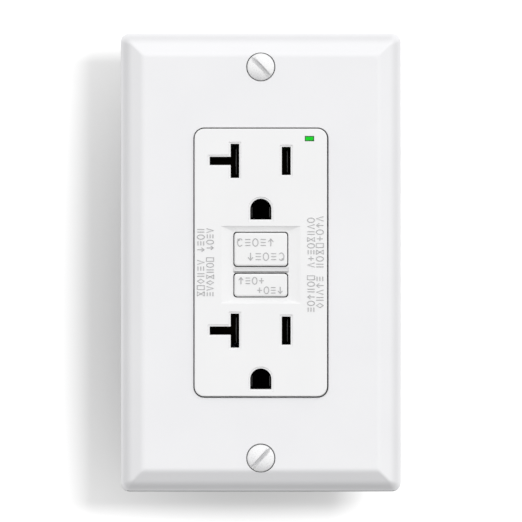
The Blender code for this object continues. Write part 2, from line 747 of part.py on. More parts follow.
def make_lifter():
    """The carrier that the reset pin lifts; its arms move both contact arms."""
    lifter = block((-10.5, 10.5), (14.2, 16.0), (-3.0, 1.0))
    join(lifter, block((-5.2, 5.2), (14.3, 19.0), (-2.0, 5.6)))
    cut(lifter, rod("Y", (0, RESET_Z), (13.0, 20.0), 1.6, steps=16))
    cut(lifter, block((-3.9, 3.9), (16.1, 17.5), (-4.0, 7.0)))
    return part("lifter", lifter, BLACK)


def make_latch_plate():
    """The sliding plate whose hole's lower edge locks the pin; the plunger pushes its bent tab down."""
    plate = block((-3.6, 3.6), (16.4, 17.2), (-3.3, 8.5))
    join(plate, block((-1.6, 1.6), (16.5, 19.4), (7.7, 8.45)))
    cut(plate, rod("Y", (0, RESET_Z + LATCH_THROW), (15.0, 17.6), 2.4, steps=20))
    return part("latch_plate", plate, ZINC)


def solenoid_axis(limits, radius, steps=16):
    return rod("Z", (0.0, SOLENOID_Y), limits, radius, steps=steps)


def make_bobbin():
    bobbin = solenoid_axis((10.5, 24.1), 3.2)
    join(bobbin, solenoid_axis((10.3, 11.3), 5.6), solenoid_axis((23.3, 24.3), 5.6))
    cut(bobbin, solenoid_axis((9.0, 25.0), 2.4))
    return part("solenoid_bobbin", bobbin, BLACK)


def make_winding():
    winding = solenoid_axis((11.6, 23.0), 5.2, 20)
    cut(winding, solenoid_axis((10.0, 24.0), 3.5))
    return part("solenoid_winding", winding, COPPER)


def make_solenoid_frame():
    frame = block((-5.0, 7.0), (15.4, 21.8), (9.0, 10.0))
    join(frame, block((6.2, 6.9), (15.4, 21.8), (9.2, 25.4)))
    join(frame, block((-5.0, 7.0), (15.4, 21.8), (24.6, 25.6)))
    cut(frame, solenoid_axis((8.0, 11.0), 1.3, 12), solenoid_axis((24.0, 26.5), 2.4, 16))
    return part("solenoid_frame", frame, ZINC)


def make_plunger():
    plunger = solenoid_axis((12.4, 29.2), 2.0)
    flange = solenoid_axis((PLUNGER_SPRING_Z[1] + 0.1, 30.0), 3.2)
    join(plunger, flange, solenoid_axis((8.9, 12.6), 0.9, 12))
    return part("solenoid_plunger", plunger, ZINC)


def make_sensor(name, y_low, y_high):
    """A toroidal sensor: coated core with the winding's section."""
    half = (y_high - y_low) / 2
    profile = [(7.2, half), (7.9, half - 0.7), (7.9, 0.7 - half), (7.2, -half)]
    profile += [(4.6, -half), (3.9, 0.7 - half), (3.9, half - 0.7), (4.6, half)]
    ring = turned("Y", (0, SENSOR_Z), (y_low + y_high) / 2, profile, 24, ring=True)
    return part(name, ring, FERRITE)


# ---- circuit board


def make_board():
    board = block((-13.5, 13.5), BOARD_Y, (-31.5, 31.5))
    return part("circuit_board", board, BOARD)


def on_board(name, x, z, height, finish):
    """A rectangular component standing on the board's front."""
    back = BOARD_Y[0] - 0.3
    return part(name, block(x, (back - height, back), z), finish)


def make_board_components():
    back = BOARD_Y[0] - 0.3
    on_board("controller_chip", (-9.5, -3.5), (-7.0, -3.0), 1.6, BLACK)
    on_board("film_capacitor", (9.4, 13.0), (20.0, 27.0), 6.0, CERAMIC)
    on_board("thyristor", (-12.6, -8.0), (19.0, 24.0), 4.0, BLACK)
    varistor = rod("Z", (10.6, 18.6), (9.0, 12.0), 3.1, steps=16)
    part("varistor", varistor, FERRITE)
    electrolytic = rod("Y", (-10.6, 12.6), (back - 6.5, back), 2.5, steps=16)
    part("electrolytic_capacitor", electrolytic, BLACK)
    part("resistor", rod("X", (back - 1.2, -10.5), (5.0, 11.0), 1.1, steps=12), CERAMIC)
    part("diode", rod("X", (back - 1.2, -10.5), (-11.0, -6.0), 1.1, steps=12), BLACK)
    led = rod("Y", (LIGHT_X, LIGHT_Z), (20.4, back), 1.2, steps=12)
    part("indicator_led", led, GREEN_LENS)
    part("test_contact_pin", rod("Y", (2.3, TEST_Z), (1.4, 24.3), 0.5, steps=10), BRASS)


def make_light_pipe():
    pipe = block((LIGHT_X - 1.1, LIGHT_X + 1.1), (-6.55, 20.0), (LIGHT_Z - 0.6, LIGHT_Z + 0.6))
    return part("light_pipe", pipe, GREEN_LENS)


# ---- build

make_wall_plate()
make_plate_screw("plate_screw_upper", 1, -44.0)
make_plate_screw("plate_screw_lower", -1, 43.0)
make_front_cover()
make_back_body()
for post_x, post_z in POSTS:
    post_name = f"{'upper' if post_z > 0 else 'lower'}_{'left' if post_x < 0 else 'right'}"
    make_assembly_screw(f"assembly_screw_{post_name}", post_x, post_z)
make_strap()
make_ground_screw()
for z_side, z_name in ((1, "upper"), (-1, "lower")):
    make_box_screw(f"box_screw_{z_name}", z_side)
    make_screw_washer(f"screw_washer_{z_name}", z_side)
make_middle_frame()
for half_name, half_z in zip(HALF_NAMES, BLADE_Z):
    make_ground_contact(f"ground_contact_{half_name}", half_z)
make_face_bus("hot_face_bus", 1, False)
make_face_bus("neutral_face_bus", -1, True)
make_line_bar("hot_line_bar", 1)
make_line_bar("neutral_line_bar", -1)
make_solenoid_frame()
make_bobbin()
make_winding()
make_sensor("leakage_sensor", 14.6, 17.9)
make_sensor("neutral_sensor", 18.3, 21.6)
make_board()
make_board_components()
make_light_pipe()

reset_group = [make_reset_button(), make_reset_pin()]
spring_coil = coil((0.0, RESET_Z), -5.1, 0.0, 2.2, 0.25, 4, "Y")
reset_group.append(part("reset_spring", spring_coil, SPRING_STEEL))
group("reset_axis", (0, 0, RESET_Z), reset_group)
group("test_axis", (0, 0, TEST_Z), [make_test_button()])
make_test_leaf()
make_line_arm("hot_line_arm", 1)
make_line_arm("neutral_line_arm", -1)
lifter_body = make_lifter()
group("lifter_axis", (0, TERMINAL_Y, 0), [lifter_body, make_latch_plate()])
plunger_coil = coil((0.0, SOLENOID_Y), *PLUNGER_SPRING_Z, 2.6, 0.15, 3, "Z")
plunger_spring = part("plunger_spring", plunger_coil, SPRING_STEEL)
group("plunger_axis", (0, SOLENOID_Y, 0), [make_plunger(), plunger_spring])
for side_sign, metal in ((1, "hot"), (-1, "neutral")):
    for wire_side, terminal_z in TERMINAL_Z.items():
        make_terminal_screw(f"{metal}_{wire_side}_screw", side_sign, terminal_z)
        make_clamp_plate(f"{metal}_{wire_side}_clamp", side_sign, terminal_z)
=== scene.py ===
import json
import math
import bmesh
import bpy
from mathutils import Matrix, Vector


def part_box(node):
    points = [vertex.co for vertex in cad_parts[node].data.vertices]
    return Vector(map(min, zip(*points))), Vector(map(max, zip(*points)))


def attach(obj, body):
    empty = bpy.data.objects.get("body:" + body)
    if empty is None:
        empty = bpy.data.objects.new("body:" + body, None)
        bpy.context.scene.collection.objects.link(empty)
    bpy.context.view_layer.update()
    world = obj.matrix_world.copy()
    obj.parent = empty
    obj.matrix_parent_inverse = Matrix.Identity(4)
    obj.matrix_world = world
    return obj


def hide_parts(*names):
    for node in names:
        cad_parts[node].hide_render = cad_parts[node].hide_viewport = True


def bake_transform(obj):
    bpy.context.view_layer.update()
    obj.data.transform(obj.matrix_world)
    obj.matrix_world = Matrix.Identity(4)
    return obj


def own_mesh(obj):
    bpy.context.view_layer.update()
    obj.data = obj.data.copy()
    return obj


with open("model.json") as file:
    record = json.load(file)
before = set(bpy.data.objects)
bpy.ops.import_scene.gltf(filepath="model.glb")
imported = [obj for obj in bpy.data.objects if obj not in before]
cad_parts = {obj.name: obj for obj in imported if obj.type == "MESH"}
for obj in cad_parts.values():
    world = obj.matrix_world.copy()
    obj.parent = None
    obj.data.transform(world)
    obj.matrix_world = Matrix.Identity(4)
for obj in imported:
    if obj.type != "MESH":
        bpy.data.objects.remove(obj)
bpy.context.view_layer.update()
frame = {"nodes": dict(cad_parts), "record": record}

mm = 0.001
bodyOf = {node: body for body, nodes in frame["record"]["behaviour"]["bodies"].items() for node in nodes}
slotOf = {entry["node"]: entry["material_slot"] for entry in frame["record"]["subparts"]}
print("frame loaded:", len(bodyOf), "nodes")


# every finish is procedural, and its scales are in bumps per metre

def addNode(tree, kind, **inputs):
    node = tree.nodes.new(kind)
    for name, value in inputs.items():
        node.inputs[name.replace("_", " ")].default_value = value
    return node


def makeFinish(name, look):
    finish = bpy.data.materials.new(name)
    finish.use_nodes = True
    tree = finish.node_tree
    shader = tree.nodes["Principled BSDF"]
    shader.inputs["Metallic"].default_value = look.get("metallic", 0.0)
    shader.inputs["Coat Weight"].default_value = look.get("coat", 0.0)
    shader.inputs["Coat Roughness"].default_value = look.get("coatRoughness", 0.1)
    shader.inputs["IOR"].default_value = look.get("ior", 1.5)
    where = tree.nodes.new("ShaderNodeTexCoord")
    stretch = addNode(tree, "ShaderNodeMapping", Scale=look.get("stretch", (1, 1, 1)))
    tree.links.new(where.outputs["Object"], stretch.inputs["Vector"])

    # cloudy colour, from one tone to another
    clouds = addNode(tree, "ShaderNodeTexNoise", Scale=look["cloudScale"], Detail=3.0)
    tones = tree.nodes.new("ShaderNodeValToRGB")
    tones.color_ramp.elements[0].position = 0.35
    tones.color_ramp.elements[1].position = 0.65
    tones.color_ramp.elements[0].color = (*look["low"], 1)
    tones.color_ramp.elements[1].color = (*look["high"], 1)
    tree.links.new(stretch.outputs["Vector"], clouds.inputs["Vector"])
    tree.links.new(clouds.outputs["Fac"], tones.inputs["Fac"])
    tree.links.new(tones.outputs["Color"], shader.inputs["Base Color"])

    # roughness follows a finer noise
    grain = addNode(tree, "ShaderNodeTexNoise", Scale=look["grainScale"], Detail=4.0)
    spread = addNode(tree, "ShaderNodeMapRange")
    spread.inputs["To Min"].default_value = look["roughness"][0]
    spread.inputs["To Max"].default_value = look["roughness"][1]
    tree.links.new(stretch.outputs["Vector"], grain.inputs["Vector"])
    tree.links.new(grain.outputs["Fac"], spread.inputs["Value"])
    tree.links.new(spread.outputs["Result"], shader.inputs["Roughness"])

    relief = addNode(tree, "ShaderNodeBump", Strength=look["bump"], Distance=look["bumpDepth"])
    tree.links.new(grain.outputs["Fac"], relief.inputs["Height"])
    tree.links.new(relief.outputs["Normal"], shader.inputs["Normal"])
    finish.diffuse_color = (*look["high"], 1)
    return finish


looks = {
    "whitePlate": {
        "low": (0.77, 0.77, 0.785), "high": (0.784, 0.784, 0.797), "cloudScale": 60,
        "grainScale": 2600, "roughness": (0.30, 0.36), "bump": 0.05, "bumpDepth": 0.00003,
    },
    "whiteFace": {
        "low": (0.788, 0.788, 0.793), "high": (0.803, 0.803, 0.806), "cloudScale": 70,
        "grainScale": 3200, "roughness": (0.26, 0.32), "bump": 0.05, "bumpDepth": 0.00003,
    },
    "whiteButton": {
        "low": (0.782, 0.782, 0.785), "high": (0.797, 0.797, 0.799), "cloudScale": 90,
        "grainScale": 3600, "roughness": (0.22, 0.28), "bump": 0.04, "bumpDepth": 0.00002,
    },
    # a grey standing in for the light and shade on the raised marks: painted shade
    "markReliefShade": {
        "low": (0.42, 0.42, 0.425), "high": (0.46, 0.46, 0.465), "cloudScale": 70,
        "grainScale": 3200, "roughness": (0.35, 0.42), "bump": 0.05, "bumpDepth": 0.00003,
    },
    "contactGloss": {
        "low": (0.006, 0.006, 0.007), "high": (0.012, 0.012, 0.013), "cloudScale": 260,
        "grainScale": 2400, "roughness": (0.2, 0.3), "bump": 0.1, "bumpDepth": 0.00002,
        "ior": 1.7,
    },
    # near-black matt well floor: black plastic darkened further as painted shade
    "wellBlackShade": {
        "low": (0.002, 0.002, 0.002), "high": (0.004, 0.004, 0.004), "cloudScale": 160,
        "grainScale": 2400, "roughness": (0.8, 0.9), "bump": 0.1, "bumpDepth": 0.00003,
        "ior": 1.15,
    },
    "greenRim": {
        "low": (0.0, 0.16, 0.01), "high": (0.005, 0.22, 0.015), "cloudScale": 700,
        "grainScale": 3000, "roughness": (0.3, 0.4), "bump": 0.05, "bumpDepth": 0.00002,
    },
    # painted shade for the floor of a screw slot
    "slotFloorShade": {
        "low": (0.6, 0.6, 0.605), "high": (0.64, 0.64, 0.645), "cloudScale": 90,
        "grainScale": 2400, "roughness": (0.4, 0.5), "bump": 0.05, "bumpDepth": 0.00003,
    },
    # painted shade for faces in gaps and hollows, a lighter grey and a darker one
    "gapShadeSoft": {
        "low": (0.2, 0.2, 0.2), "high": (0.24, 0.24, 0.24), "cloudScale": 60,
        "grainScale": 2400, "roughness": (0.5, 0.6), "bump": 0.05, "bumpDepth": 0.00003,
    },
    "gapShade": {
        "low": (0.05, 0.05, 0.052), "high": (0.07, 0.07, 0.072), "cloudScale": 90,
        "grainScale": 3600, "roughness": (0.6, 0.7), "bump": 0.04, "bumpDepth": 0.00002,
    },
    "whiteEnamel": {
        "low": (0.77, 0.77, 0.78), "high": (0.81, 0.81, 0.81), "cloudScale": 500,
        "grainScale": 2200, "roughness": (0.22, 0.34), "bump": 0.1, "bumpDepth": 0.00004,
        "coat": 0.4, "metallic": 0.1,
    },
    "blackPlastic": {
        "low": (0.006, 0.006, 0.007), "high": (0.011, 0.011, 0.012), "cloudScale": 300,
        "grainScale": 4000, "roughness": (0.35, 0.5), "bump": 0.15, "bumpDepth": 0.00004,
    },
    "greyPlastic": {
        "low": (0.30, 0.31, 0.33), "high": (0.36, 0.37, 0.39), "cloudScale": 90,
        "grainScale": 5200, "roughness": (0.42, 0.6), "bump": 0.35, "bumpDepth": 0.00006,
    },
    "zincSteel": {
        "low": (0.42, 0.42, 0.40), "high": (0.66, 0.66, 0.62), "cloudScale": 240,
        "grainScale": 1500, "roughness": (0.24, 0.46), "bump": 0.2, "bumpDepth": 0.00003,
        "metallic": 1.0,
    },
    "springSteel": {
        "low": (0.42, 0.42, 0.42), "high": (0.6, 0.6, 0.6), "cloudScale": 500,
        "grainScale": 3000, "roughness": (0.18, 0.3), "bump": 0.1, "bumpDepth": 0.00002,
        "metallic": 1.0,
    },
    "brass": {
        "low": (0.50, 0.34, 0.12), "high": (0.74, 0.55, 0.24), "cloudScale": 260,
        "grainScale": 2400, "roughness": (0.22, 0.42), "bump": 0.15, "bumpDepth": 0.00003,
        "metallic": 1.0,
    },
    "bronze": {
        "low": (0.36, 0.19, 0.10), "high": (0.6, 0.36, 0.2), "cloudScale": 260,
        "grainScale": 2400, "roughness": (0.25, 0.45), "bump": 0.15, "bumpDepth": 0.00003,
        "metallic": 1.0,
    },
    # bronze darkened nearly black: painted shade on the ground contacts deep behind the ground holes
    "bronzePaintedShade": {
        "low": (0.012, 0.009, 0.007), "high": (0.03, 0.022, 0.017), "cloudScale": 260,
        "grainScale": 2400, "roughness": (0.3, 0.5), "bump": 0.15, "bumpDepth": 0.00003,
        "metallic": 1.0,
    },
    "greenEnamel": {
        "low": (0.01, 0.16, 0.05), "high": (0.03, 0.30, 0.10), "cloudScale": 500,
        "grainScale": 2200, "roughness": (0.2, 0.35), "bump": 0.1, "bumpDepth": 0.00004,
        "metallic": 0.6, "coat": 0.3,
    },
    "copperWinding": {
        "low": (0.36, 0.10, 0.04), "high": (0.68, 0.27, 0.12), "cloudScale": 300,
        "grainScale": 1500, "roughness": (0.22, 0.4), "bump": 0.8, "bumpDepth": 0.0002,
        "metallic": 0.9, "stretch": (0.1, 0.1, 3.0),
    },
    "boardGreen": {
        "low": (0.01, 0.08, 0.03), "high": (0.03, 0.17, 0.06), "cloudScale": 700,
        "grainScale": 2500, "roughness": (0.3, 0.5), "bump": 0.2, "bumpDepth": 0.00004,
    },
    "redFibre": {
        "low": (0.28, 0.05, 0.03), "high": (0.46, 0.11, 0.07), "cloudScale": 1500,
        "grainScale": 5000, "roughness": (0.7, 0.9), "bump": 0.5, "bumpDepth": 0.00008,
    },
    "blueCoat": {
        "low": (0.03, 0.06, 0.18), "high": (0.07, 0.12, 0.30), "cloudScale": 500,
        "grainScale": 1800, "roughness": (0.35, 0.55), "bump": 0.4, "bumpDepth": 0.00008,
    },
    "ochreCoat": {
        "low": (0.40, 0.16, 0.03), "high": (0.58, 0.27, 0.06), "cloudScale": 500,
        "grainScale": 1800, "roughness": (0.35, 0.5), "bump": 0.3, "bumpDepth": 0.00006,
    },
}
finishes = {name: makeFinish(name, look) for name, look in looks.items()}


def makeLens():
    # the lit window: deeper green towards its rim, brighter where the light stands behind it
    finish = makeFinish("greenLens", {
        "low": (0.0, 0.24, 0.005), "high": (0.0, 0.32, 0.01), "cloudScale": 900,
        "grainScale": 3000, "roughness": (0.15, 0.25), "bump": 0.05, "bumpDepth": 0.00002,
    })
    tree = finish.node_tree
    shader = tree.nodes["Principled BSDF"]
    where = tree.nodes.new("ShaderNodeTexCoord")
    glow = addNode(tree, "ShaderNodeTexNoise", Scale=700.0)
    tones = tree.nodes.new("ShaderNodeValToRGB")
    tones.color_ramp.elements[0].color = (0.0, 0.4, 0.004, 1)
    tones.color_ramp.elements[1].color = (0.0, 0.62, 0.01, 1)
    tree.links.new(where.outputs["Object"], glow.inputs["Vector"])
    tree.links.new(glow.outputs["Fac"], tones.inputs["Fac"])
    tree.links.new(tones.outputs["Color"], shader.inputs["Emission Color"])
    shader.inputs["Emission Strength"].default_value = 0.75
    shader.inputs["Specular IOR Level"].default_value = 0.15
    return finish


finishes["greenLens"] = makeLens()


def makeBusBrassSlotShade():
    # brass at the terminals; towards the middle, behind the slots, it is darkened nearly black as painted
    # shade
    finish = makeFinish("busBrassSlotShade", looks["brass"])
    tree = finish.node_tree
    shader = tree.nodes["Principled BSDF"]
    bright = shader.inputs["Base Color"].links[0].from_socket
    where = tree.nodes.new("ShaderNodeTexCoord")
    split = tree.nodes.new("ShaderNodeSeparateXYZ")
    side = tree.nodes.new("ShaderNodeMath")
    side.operation = "ABSOLUTE"
    reach = addNode(tree, "ShaderNodeMapRange")
    reach.inputs["From Min"].default_value = 0.0135
    reach.inputs["From Max"].default_value = 0.0165
    reach.inputs["To Min"].default_value = 0.006
    brassWithSlotShade = tree.nodes.new("ShaderNodeVectorMath")
    brassWithSlotShade.operation = "SCALE"
    tree.links.new(where.outputs["Object"], split.inputs["Vector"])
    tree.links.new(split.outputs["X"], side.inputs[0])
    tree.links.new(side.outputs["Value"], reach.inputs["Value"])
    tree.links.new(bright, brassWithSlotShade.inputs[0])
    tree.links.new(reach.outputs["Result"], brassWithSlotShade.inputs["Scale"])
    tree.links.new(brassWithSlotShade.outputs["Vector"], shader.inputs["Base Color"])
    return finish


finishes["busBrassSlotShade"] = makeBusBrassSlotShade()
finishOfSlot = {
    "white": "whitePlate", "enamel": "whiteEnamel", "black": "blackPlastic", "grey": "greyPlastic",
    "lens": "greenLens", "zinc": "zincSteel", "spring": "springSteel", "brass": "brass",
    "bronze": "bronze", "green_enamel": "greenEnamel", "copper": "copperWinding",
    "board": "boardGreen", "fibre": "redFibre", "ferrite": "blueCoat", "coat": "ochreCoat",
}
finishOfNode = {
    "hot_face_bus": "busBrassSlotShade", "neutral_face_bus": "busBrassSlotShade",
    "ground_contact_upper": "bronzePaintedShade", "ground_contact_lower": "bronzePaintedShade",
    "leakage_sensor": "blueCoat", "varistor": "ochreCoat",
}
print("finishes made:", len(finishes))


# the shape helpers take millimetres

def addObject(name, data):
    thing = bpy.data.objects.new(name, data)
    bpy.context.scene.collection.objects.link(thing)
    return thing


def finalMesh(thing):
    # the object's mesh with its modifiers or its curve worked out
    graph = bpy.context.evaluated_depsgraph_get()
    return bpy.data.meshes.new_from_object(thing.evaluated_get(graph))


def smoothShade(mesh, smoothAngle):
    mesh.shade_smooth()
    mesh.set_sharp_from_angle(angle=math.radians(smoothAngle))


def newPiece(name, bm, smoothAngle=35):
    mesh = bpy.data.meshes.new(name)
    bm.to_mesh(mesh)
    bm.free()
    smoothShade(mesh, smoothAngle)
    return addObject(name, mesh)


def ringAt(bm, radii, along):
    # one ring of corners round the local Z axis, each at its own radius
    ring = []
    for i, radius in enumerate(radii):
        angle = 2 * math.pi * i / len(radii)
        ring.append(bm.verts.new(Vector((radius * math.cos(angle), radius * math.sin(angle), along)) * mm))
    return ring


def wireMesh(name, lines, wire, sides, finish):
    # a round wire along each line of points, as one mesh, all of it in metres
    curve = bpy.data.curves.new(name, "CURVE")
    curve.dimensions = "3D"
    curve.bevel_depth = wire
    curve.bevel_resolution = sides
    curve.use_fill_caps = True
    for line in lines:
        spline = curve.splines.new("POLY")
        spline.points.add(len(line) - 1)
        for spot, point in zip(spline.points, line):
            spot.co = (*point, 1.0)
    holder = addObject(name + "Curve", curve)
    mesh = finalMesh(holder)
    bpy.data.objects.remove(holder, do_unlink=True)
    mesh.materials.clear()
    mesh.materials.append(finishes[finish])
    return mesh


def roundedLoop(halfX, halfZ, radius, steps):
    loop = []
    for quarter, (signX, signZ) in enumerate(((1, -1), (1, 1), (-1, 1), (-1, -1))):
        for step in range(steps + 1):
            angle = math.pi / 2 * (quarter - 1 + step / steps)
            x = signX * (halfX - radius) + radius * math.cos(angle)
            z = signZ * (halfZ - radius) + radius * math.sin(angle)
            loop.append((x, z))
    return loop


def loftLoops(name, loops, centre=(0, 0)):
    # a closed solid through loops of equal length: [(y, [(x, z), ...]), ...] from front to back
    bm = bmesh.new()
    rows = []
    for y, loop in loops:
        rows.append([bm.verts.new(Vector((centre[0] + x, y, centre[1] + z)) * mm) for x, z in loop])
    count = len(rows[0])
    for front, back in zip(rows, rows[1:]):
        for i in range(count):
            j = (i + 1) % count
            bm.faces.new((front[i], front[j], back[j], back[i]))
    bm.faces.new(rows[0])
    bm.faces.new(list(reversed(rows[-1])))
    bmesh.ops.recalc_face_normals(bm, faces=bm.faces)
    return newPiece(name, bm)


def loftRounded(name, sections, centre=(0, 0), steps=6):
    # each section: depth, half width, half height, corner radius
    loops = []
    for y, halfX, halfZ, radius in sections:
        loops.append((y, roundedLoop(halfX, halfZ, max(radius, 0.01), steps)))
    return loftLoops(name, loops, centre)


def boxShape(x, y, z, name="box"):
    bm = bmesh.new()
    bmesh.ops.create_cube(bm, size=1.0)
    size = Vector([(high - low) * mm for low, high in (x, y, z)])
    middle = Vector([(high + low) * mm / 2 for low, high in (x, y, z)])
    bmesh.ops.scale(bm, vec=size, verts=bm.verts)
    bmesh.ops.translate(bm, vec=middle, verts=bm.verts)
    return newPiece(name, bm)


def axisMatrix(axis, centre, along):
    # local Z runs along the named axis
    turns = {
        "X": Matrix.Rotation(math.pi / 2, 4, "Y"),
        "Y": Matrix.Rotation(-math.pi / 2, 4, "X"),
        "Z": Matrix.Identity(4),
    }
    spots = {
        "X": (along, *centre),
        "Y": (centre[0], along, centre[1]),
        "Z": (*centre, along),
    }
    return Matrix.Translation(Vector(spots[axis]) * mm) @ turns[axis]


def rodShape(axis, centre, limits, radius, endRadius=None, steps=32, name="rod"):
    low, high = limits
    bm = bmesh.new()
    bmesh.ops.create_cone(
        bm, cap_ends=True, segments=steps, radius1=radius * mm,
        radius2=(radius if endRadius is None else endRadius) * mm, depth=(high - low) * mm)
    bm.transform(axisMatrix(axis, centre, (low + high) / 2))
    return newPiece(name, bm)


def turnedShape(axis, centre, profile, steps=48, name="turned"):
    # (radius, distance along the axis) points; a radius of 0 closes the end
    bm = bmesh.new()
    rows = []
    for radius, along in profile:
        if radius == 0:
            rows.append([bm.verts.new((0, 0, along * mm))])
            continue
        rows.append(ringAt(bm, [radius] * steps, along))
    for first, second in zip(rows, rows[1:]):
        for i in range(steps):
            j = (i + 1) % steps
            corners = [first[i % len(first)], first[j % len(first)]]
            corners += [second[j % len(second)], second[i % len(second)]]
            bm.faces.new(list(dict.fromkeys(corners)))
    bmesh.ops.recalc_face_normals(bm, faces=bm.faces)
    bm.transform(axisMatrix(axis, centre, 0))
    return newPiece(name, bm)


def threadedRod(name, axis, centre, start, end, radius, pitch, depth, steps=28):
    # a rod whose surface follows a helix; the thread fades out at both ends
    bm = bmesh.new()
    perTurn = 8
    length = abs(end - start)
    rowCount = int(length / pitch * perTurn)
    rows = []
    for k in range(rowCount + 1):
        share = k / rowCount
        along = start + (end - start) * share
        fade = min(1.0, share * rowCount / perTurn, (1 - share) * rowCount / perTurn)
        radii = []
        for i in range(steps):
            phase = (share * length / pitch - i / steps) % 1.0
            groove = depth * (1 - abs(2 * phase - 1)) * fade
            radii.append(radius - groove - (1 - fade) * depth * 0.6)
        rows.append(ringAt(bm, radii, along))
    for first, second in zip(rows, rows[1:]):
        for i in range(steps):
            j = (i + 1) % steps
            bm.faces.new((first[i], first[j], second[j], second[i]))
    bm.faces.new(rows[0])
    bm.faces.new(list(reversed(rows[-1])))
    bmesh.ops.recalc_face_normals(bm, faces=bm.faces)
    bm.transform(axisMatrix(axis, centre, 0))
    return newPiece(name, bm, 50)


def bakeModifiers(piece):
    mesh = finalMesh(piece)
    old = piece.data
    piece.modifiers.clear()
    piece.data = mesh
    bpy.data.meshes.remove(old)


def applyModifiers(piece, smoothAngle=35):
    bakeModifiers(piece)
    smoothShade(piece.data, smoothAngle)
    return piece


def evenShading(piece, smoothAngle=35):
    # large faces keep their flat look and the small bevels take the turn of the light
    smoothShade(piece.data, smoothAngle)
    even = piece.modifiers.new("evenShading", "WEIGHTED_NORMAL")
    even.mode = "FACE_AREA"
    even.weight = 100
    even.keep_sharp = True
    bakeModifiers(piece)


def combine(piece, others, operation):
    for other in others:
        step = piece.modifiers.new(operation, "BOOLEAN")
        step.operation = operation
        step.solver = "EXACT"
        step.object = other
    applyModifiers(piece)
    for other in others:
        bpy.data.objects.remove(other, do_unlink=True)


def cutAway(piece, *others):
    combine(piece, others, "DIFFERENCE")


def fuse(piece, *others):
    combine(piece, others, "UNION")


def roundEdges(piece, width, segments=2, angle=32, smoothAngle=35):
    bevel = piece.modifiers.new("edges", "BEVEL")
    bevel.width = width * mm
    bevel.segments = segments
    bevel.limit_method = "ANGLE"
    bevel.angle_limit = math.radians(angle)
    bevel.use_clamp_overlap = True
    bevel.harden_normals = False
    return applyModifiers(piece, smoothAngle)


def copyNode(node, name):
    # the CAD solid as a fresh mesh with its flat faces whole again, ready for edge work
    mesh = frame["nodes"][node].data.copy()
    bm = bmesh.new()
    bm.from_mesh(mesh)
    bmesh.ops.remove_doubles(bm, verts=bm.verts, dist=0.000003)
    bmesh.ops.dissolve_limit(bm, angle_limit=math.radians(1.0), verts=bm.verts, edges=bm.edges)
    bmesh.ops.recalc_face_normals(bm, faces=bm.faces)
    bpy.data.meshes.remove(mesh)
    return newPiece(name, bm)


def finishFor(node):
    return finishes[finishOfNode.get(node) or finishOfSlot[slotOf[node]]]


def dress(piece, node, finish=None, riders=(), smoothAngle=35):
    # the piece stands for the CAD node, rides on its body and takes its slot's finish
    coat = finishes[finish] if finish else finishFor(node)
    for each in (piece, *riders):
        evenShading(each, smoothAngle)
        each.data.materials.clear()
        each.data.materials.append(coat)
        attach(each, bodyOf[node])
    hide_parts(node)


studio = {
    "cameraAway": 650.0, "lens": 181.3, "aim": (0.05, 0.37),
    "wallY": 29.5, "floorZ": -74.0, "wallWidth": 2400.0,
    "shadowLight": (222.0, -520.0, 92.0), "shadowSize": (180.0, 105.0), "shadowPower": 2.3,
}
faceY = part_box("front_cover")[0].y / mm


def makeCamera():
    lens = bpy.data.cameras.new("camera")
    lens.lens = studio["lens"]
    lens.sensor_width = 36.0
    lens.clip_start = 0.01
    lens.clip_end = 20.0
    camera = addObject("camera", lens)
    x, z = studio["aim"]
    camera.location = Vector((x, faceY - studio["cameraAway"], z)) * mm
    camera.rotation_euler = (math.pi / 2, 0, 0)
    bpy.context.scene.camera = camera


skyLight = {
    "slope": (0.19, -1.07, 0.70), "lift": 0.198, "panelShare": 0.74,
    "dimmest": 0.28, "brightest": 1.5, "paper": (0.93, 0.93, 0.93),
}


def addMath(tree, operation, value):
    node = tree.nodes.new("ShaderNodeMath")
    node.operation = operation
    node.inputs[1].default_value = value
    return node


def makeWorld():
    # soft light from all round: strongest from the front and above, a little from the right
    world = bpy.data.worlds.new("studio")
    world.use_nodes = True
    bpy.context.scene.world = world
    tree = world.node_tree
    back = tree.nodes["Background"]
    where = tree.nodes.new("ShaderNodeTexCoord")
    slope = tree.nodes.new("ShaderNodeVectorMath")
    slope.operation = "DOT_PRODUCT"
    slope.inputs[1].default_value = skyLight["slope"]
    lift = addMath(tree, "ADD", skyLight["lift"])
    dimmest = addMath(tree, "MAXIMUM", skyLight["dimmest"])
    # two tall soft panels, one on either side
    split = tree.nodes.new("ShaderNodeSeparateXYZ")
    panels = addMath(tree, "POWER", 2.0)
    panelShare = addMath(tree, "MULTIPLY_ADD", skyLight["panelShare"])
    brightest = addMath(tree, "MINIMUM", skyLight["brightest"])
    tree.links.new(where.outputs["Generated"], split.inputs["Vector"])
    tree.links.new(split.outputs["X"], panels.inputs[0])
    tree.links.new(panels.outputs["Value"], panelShare.inputs[0])
    tree.links.new(where.outputs["Generated"], slope.inputs[0])
    tree.links.new(slope.outputs["Value"], lift.inputs[0])
    tree.links.new(lift.outputs["Value"], panelShare.inputs[2])
    tree.links.new(panelShare.outputs["Value"], brightest.inputs[0])
    tree.links.new(brightest.outputs["Value"], dimmest.inputs[0])
    # the camera itself sees plain pale studio paper
    path = tree.nodes.new("ShaderNodeLightPath")
    plain = addNode(tree, "ShaderNodeBackground", Strength=1.0)
    plain.inputs["Color"].default_value = (*skyLight["paper"], 1)
    choose = tree.nodes.new("ShaderNodeMixShader")
    tree.links.new(dimmest.outputs["Value"], back.inputs["Strength"])
    back.inputs["Color"].default_value = (1, 1, 1, 1)
    tree.links.new(path.outputs["Is Camera Ray"], choose.inputs["Fac"])
    tree.links.new(back.outputs["Background"], choose.inputs[1])
    tree.links.new(plain.outputs["Background"], choose.inputs[2])
    tree.links.new(choose.outputs["Shader"], tree.nodes["World Output"].inputs["Surface"])


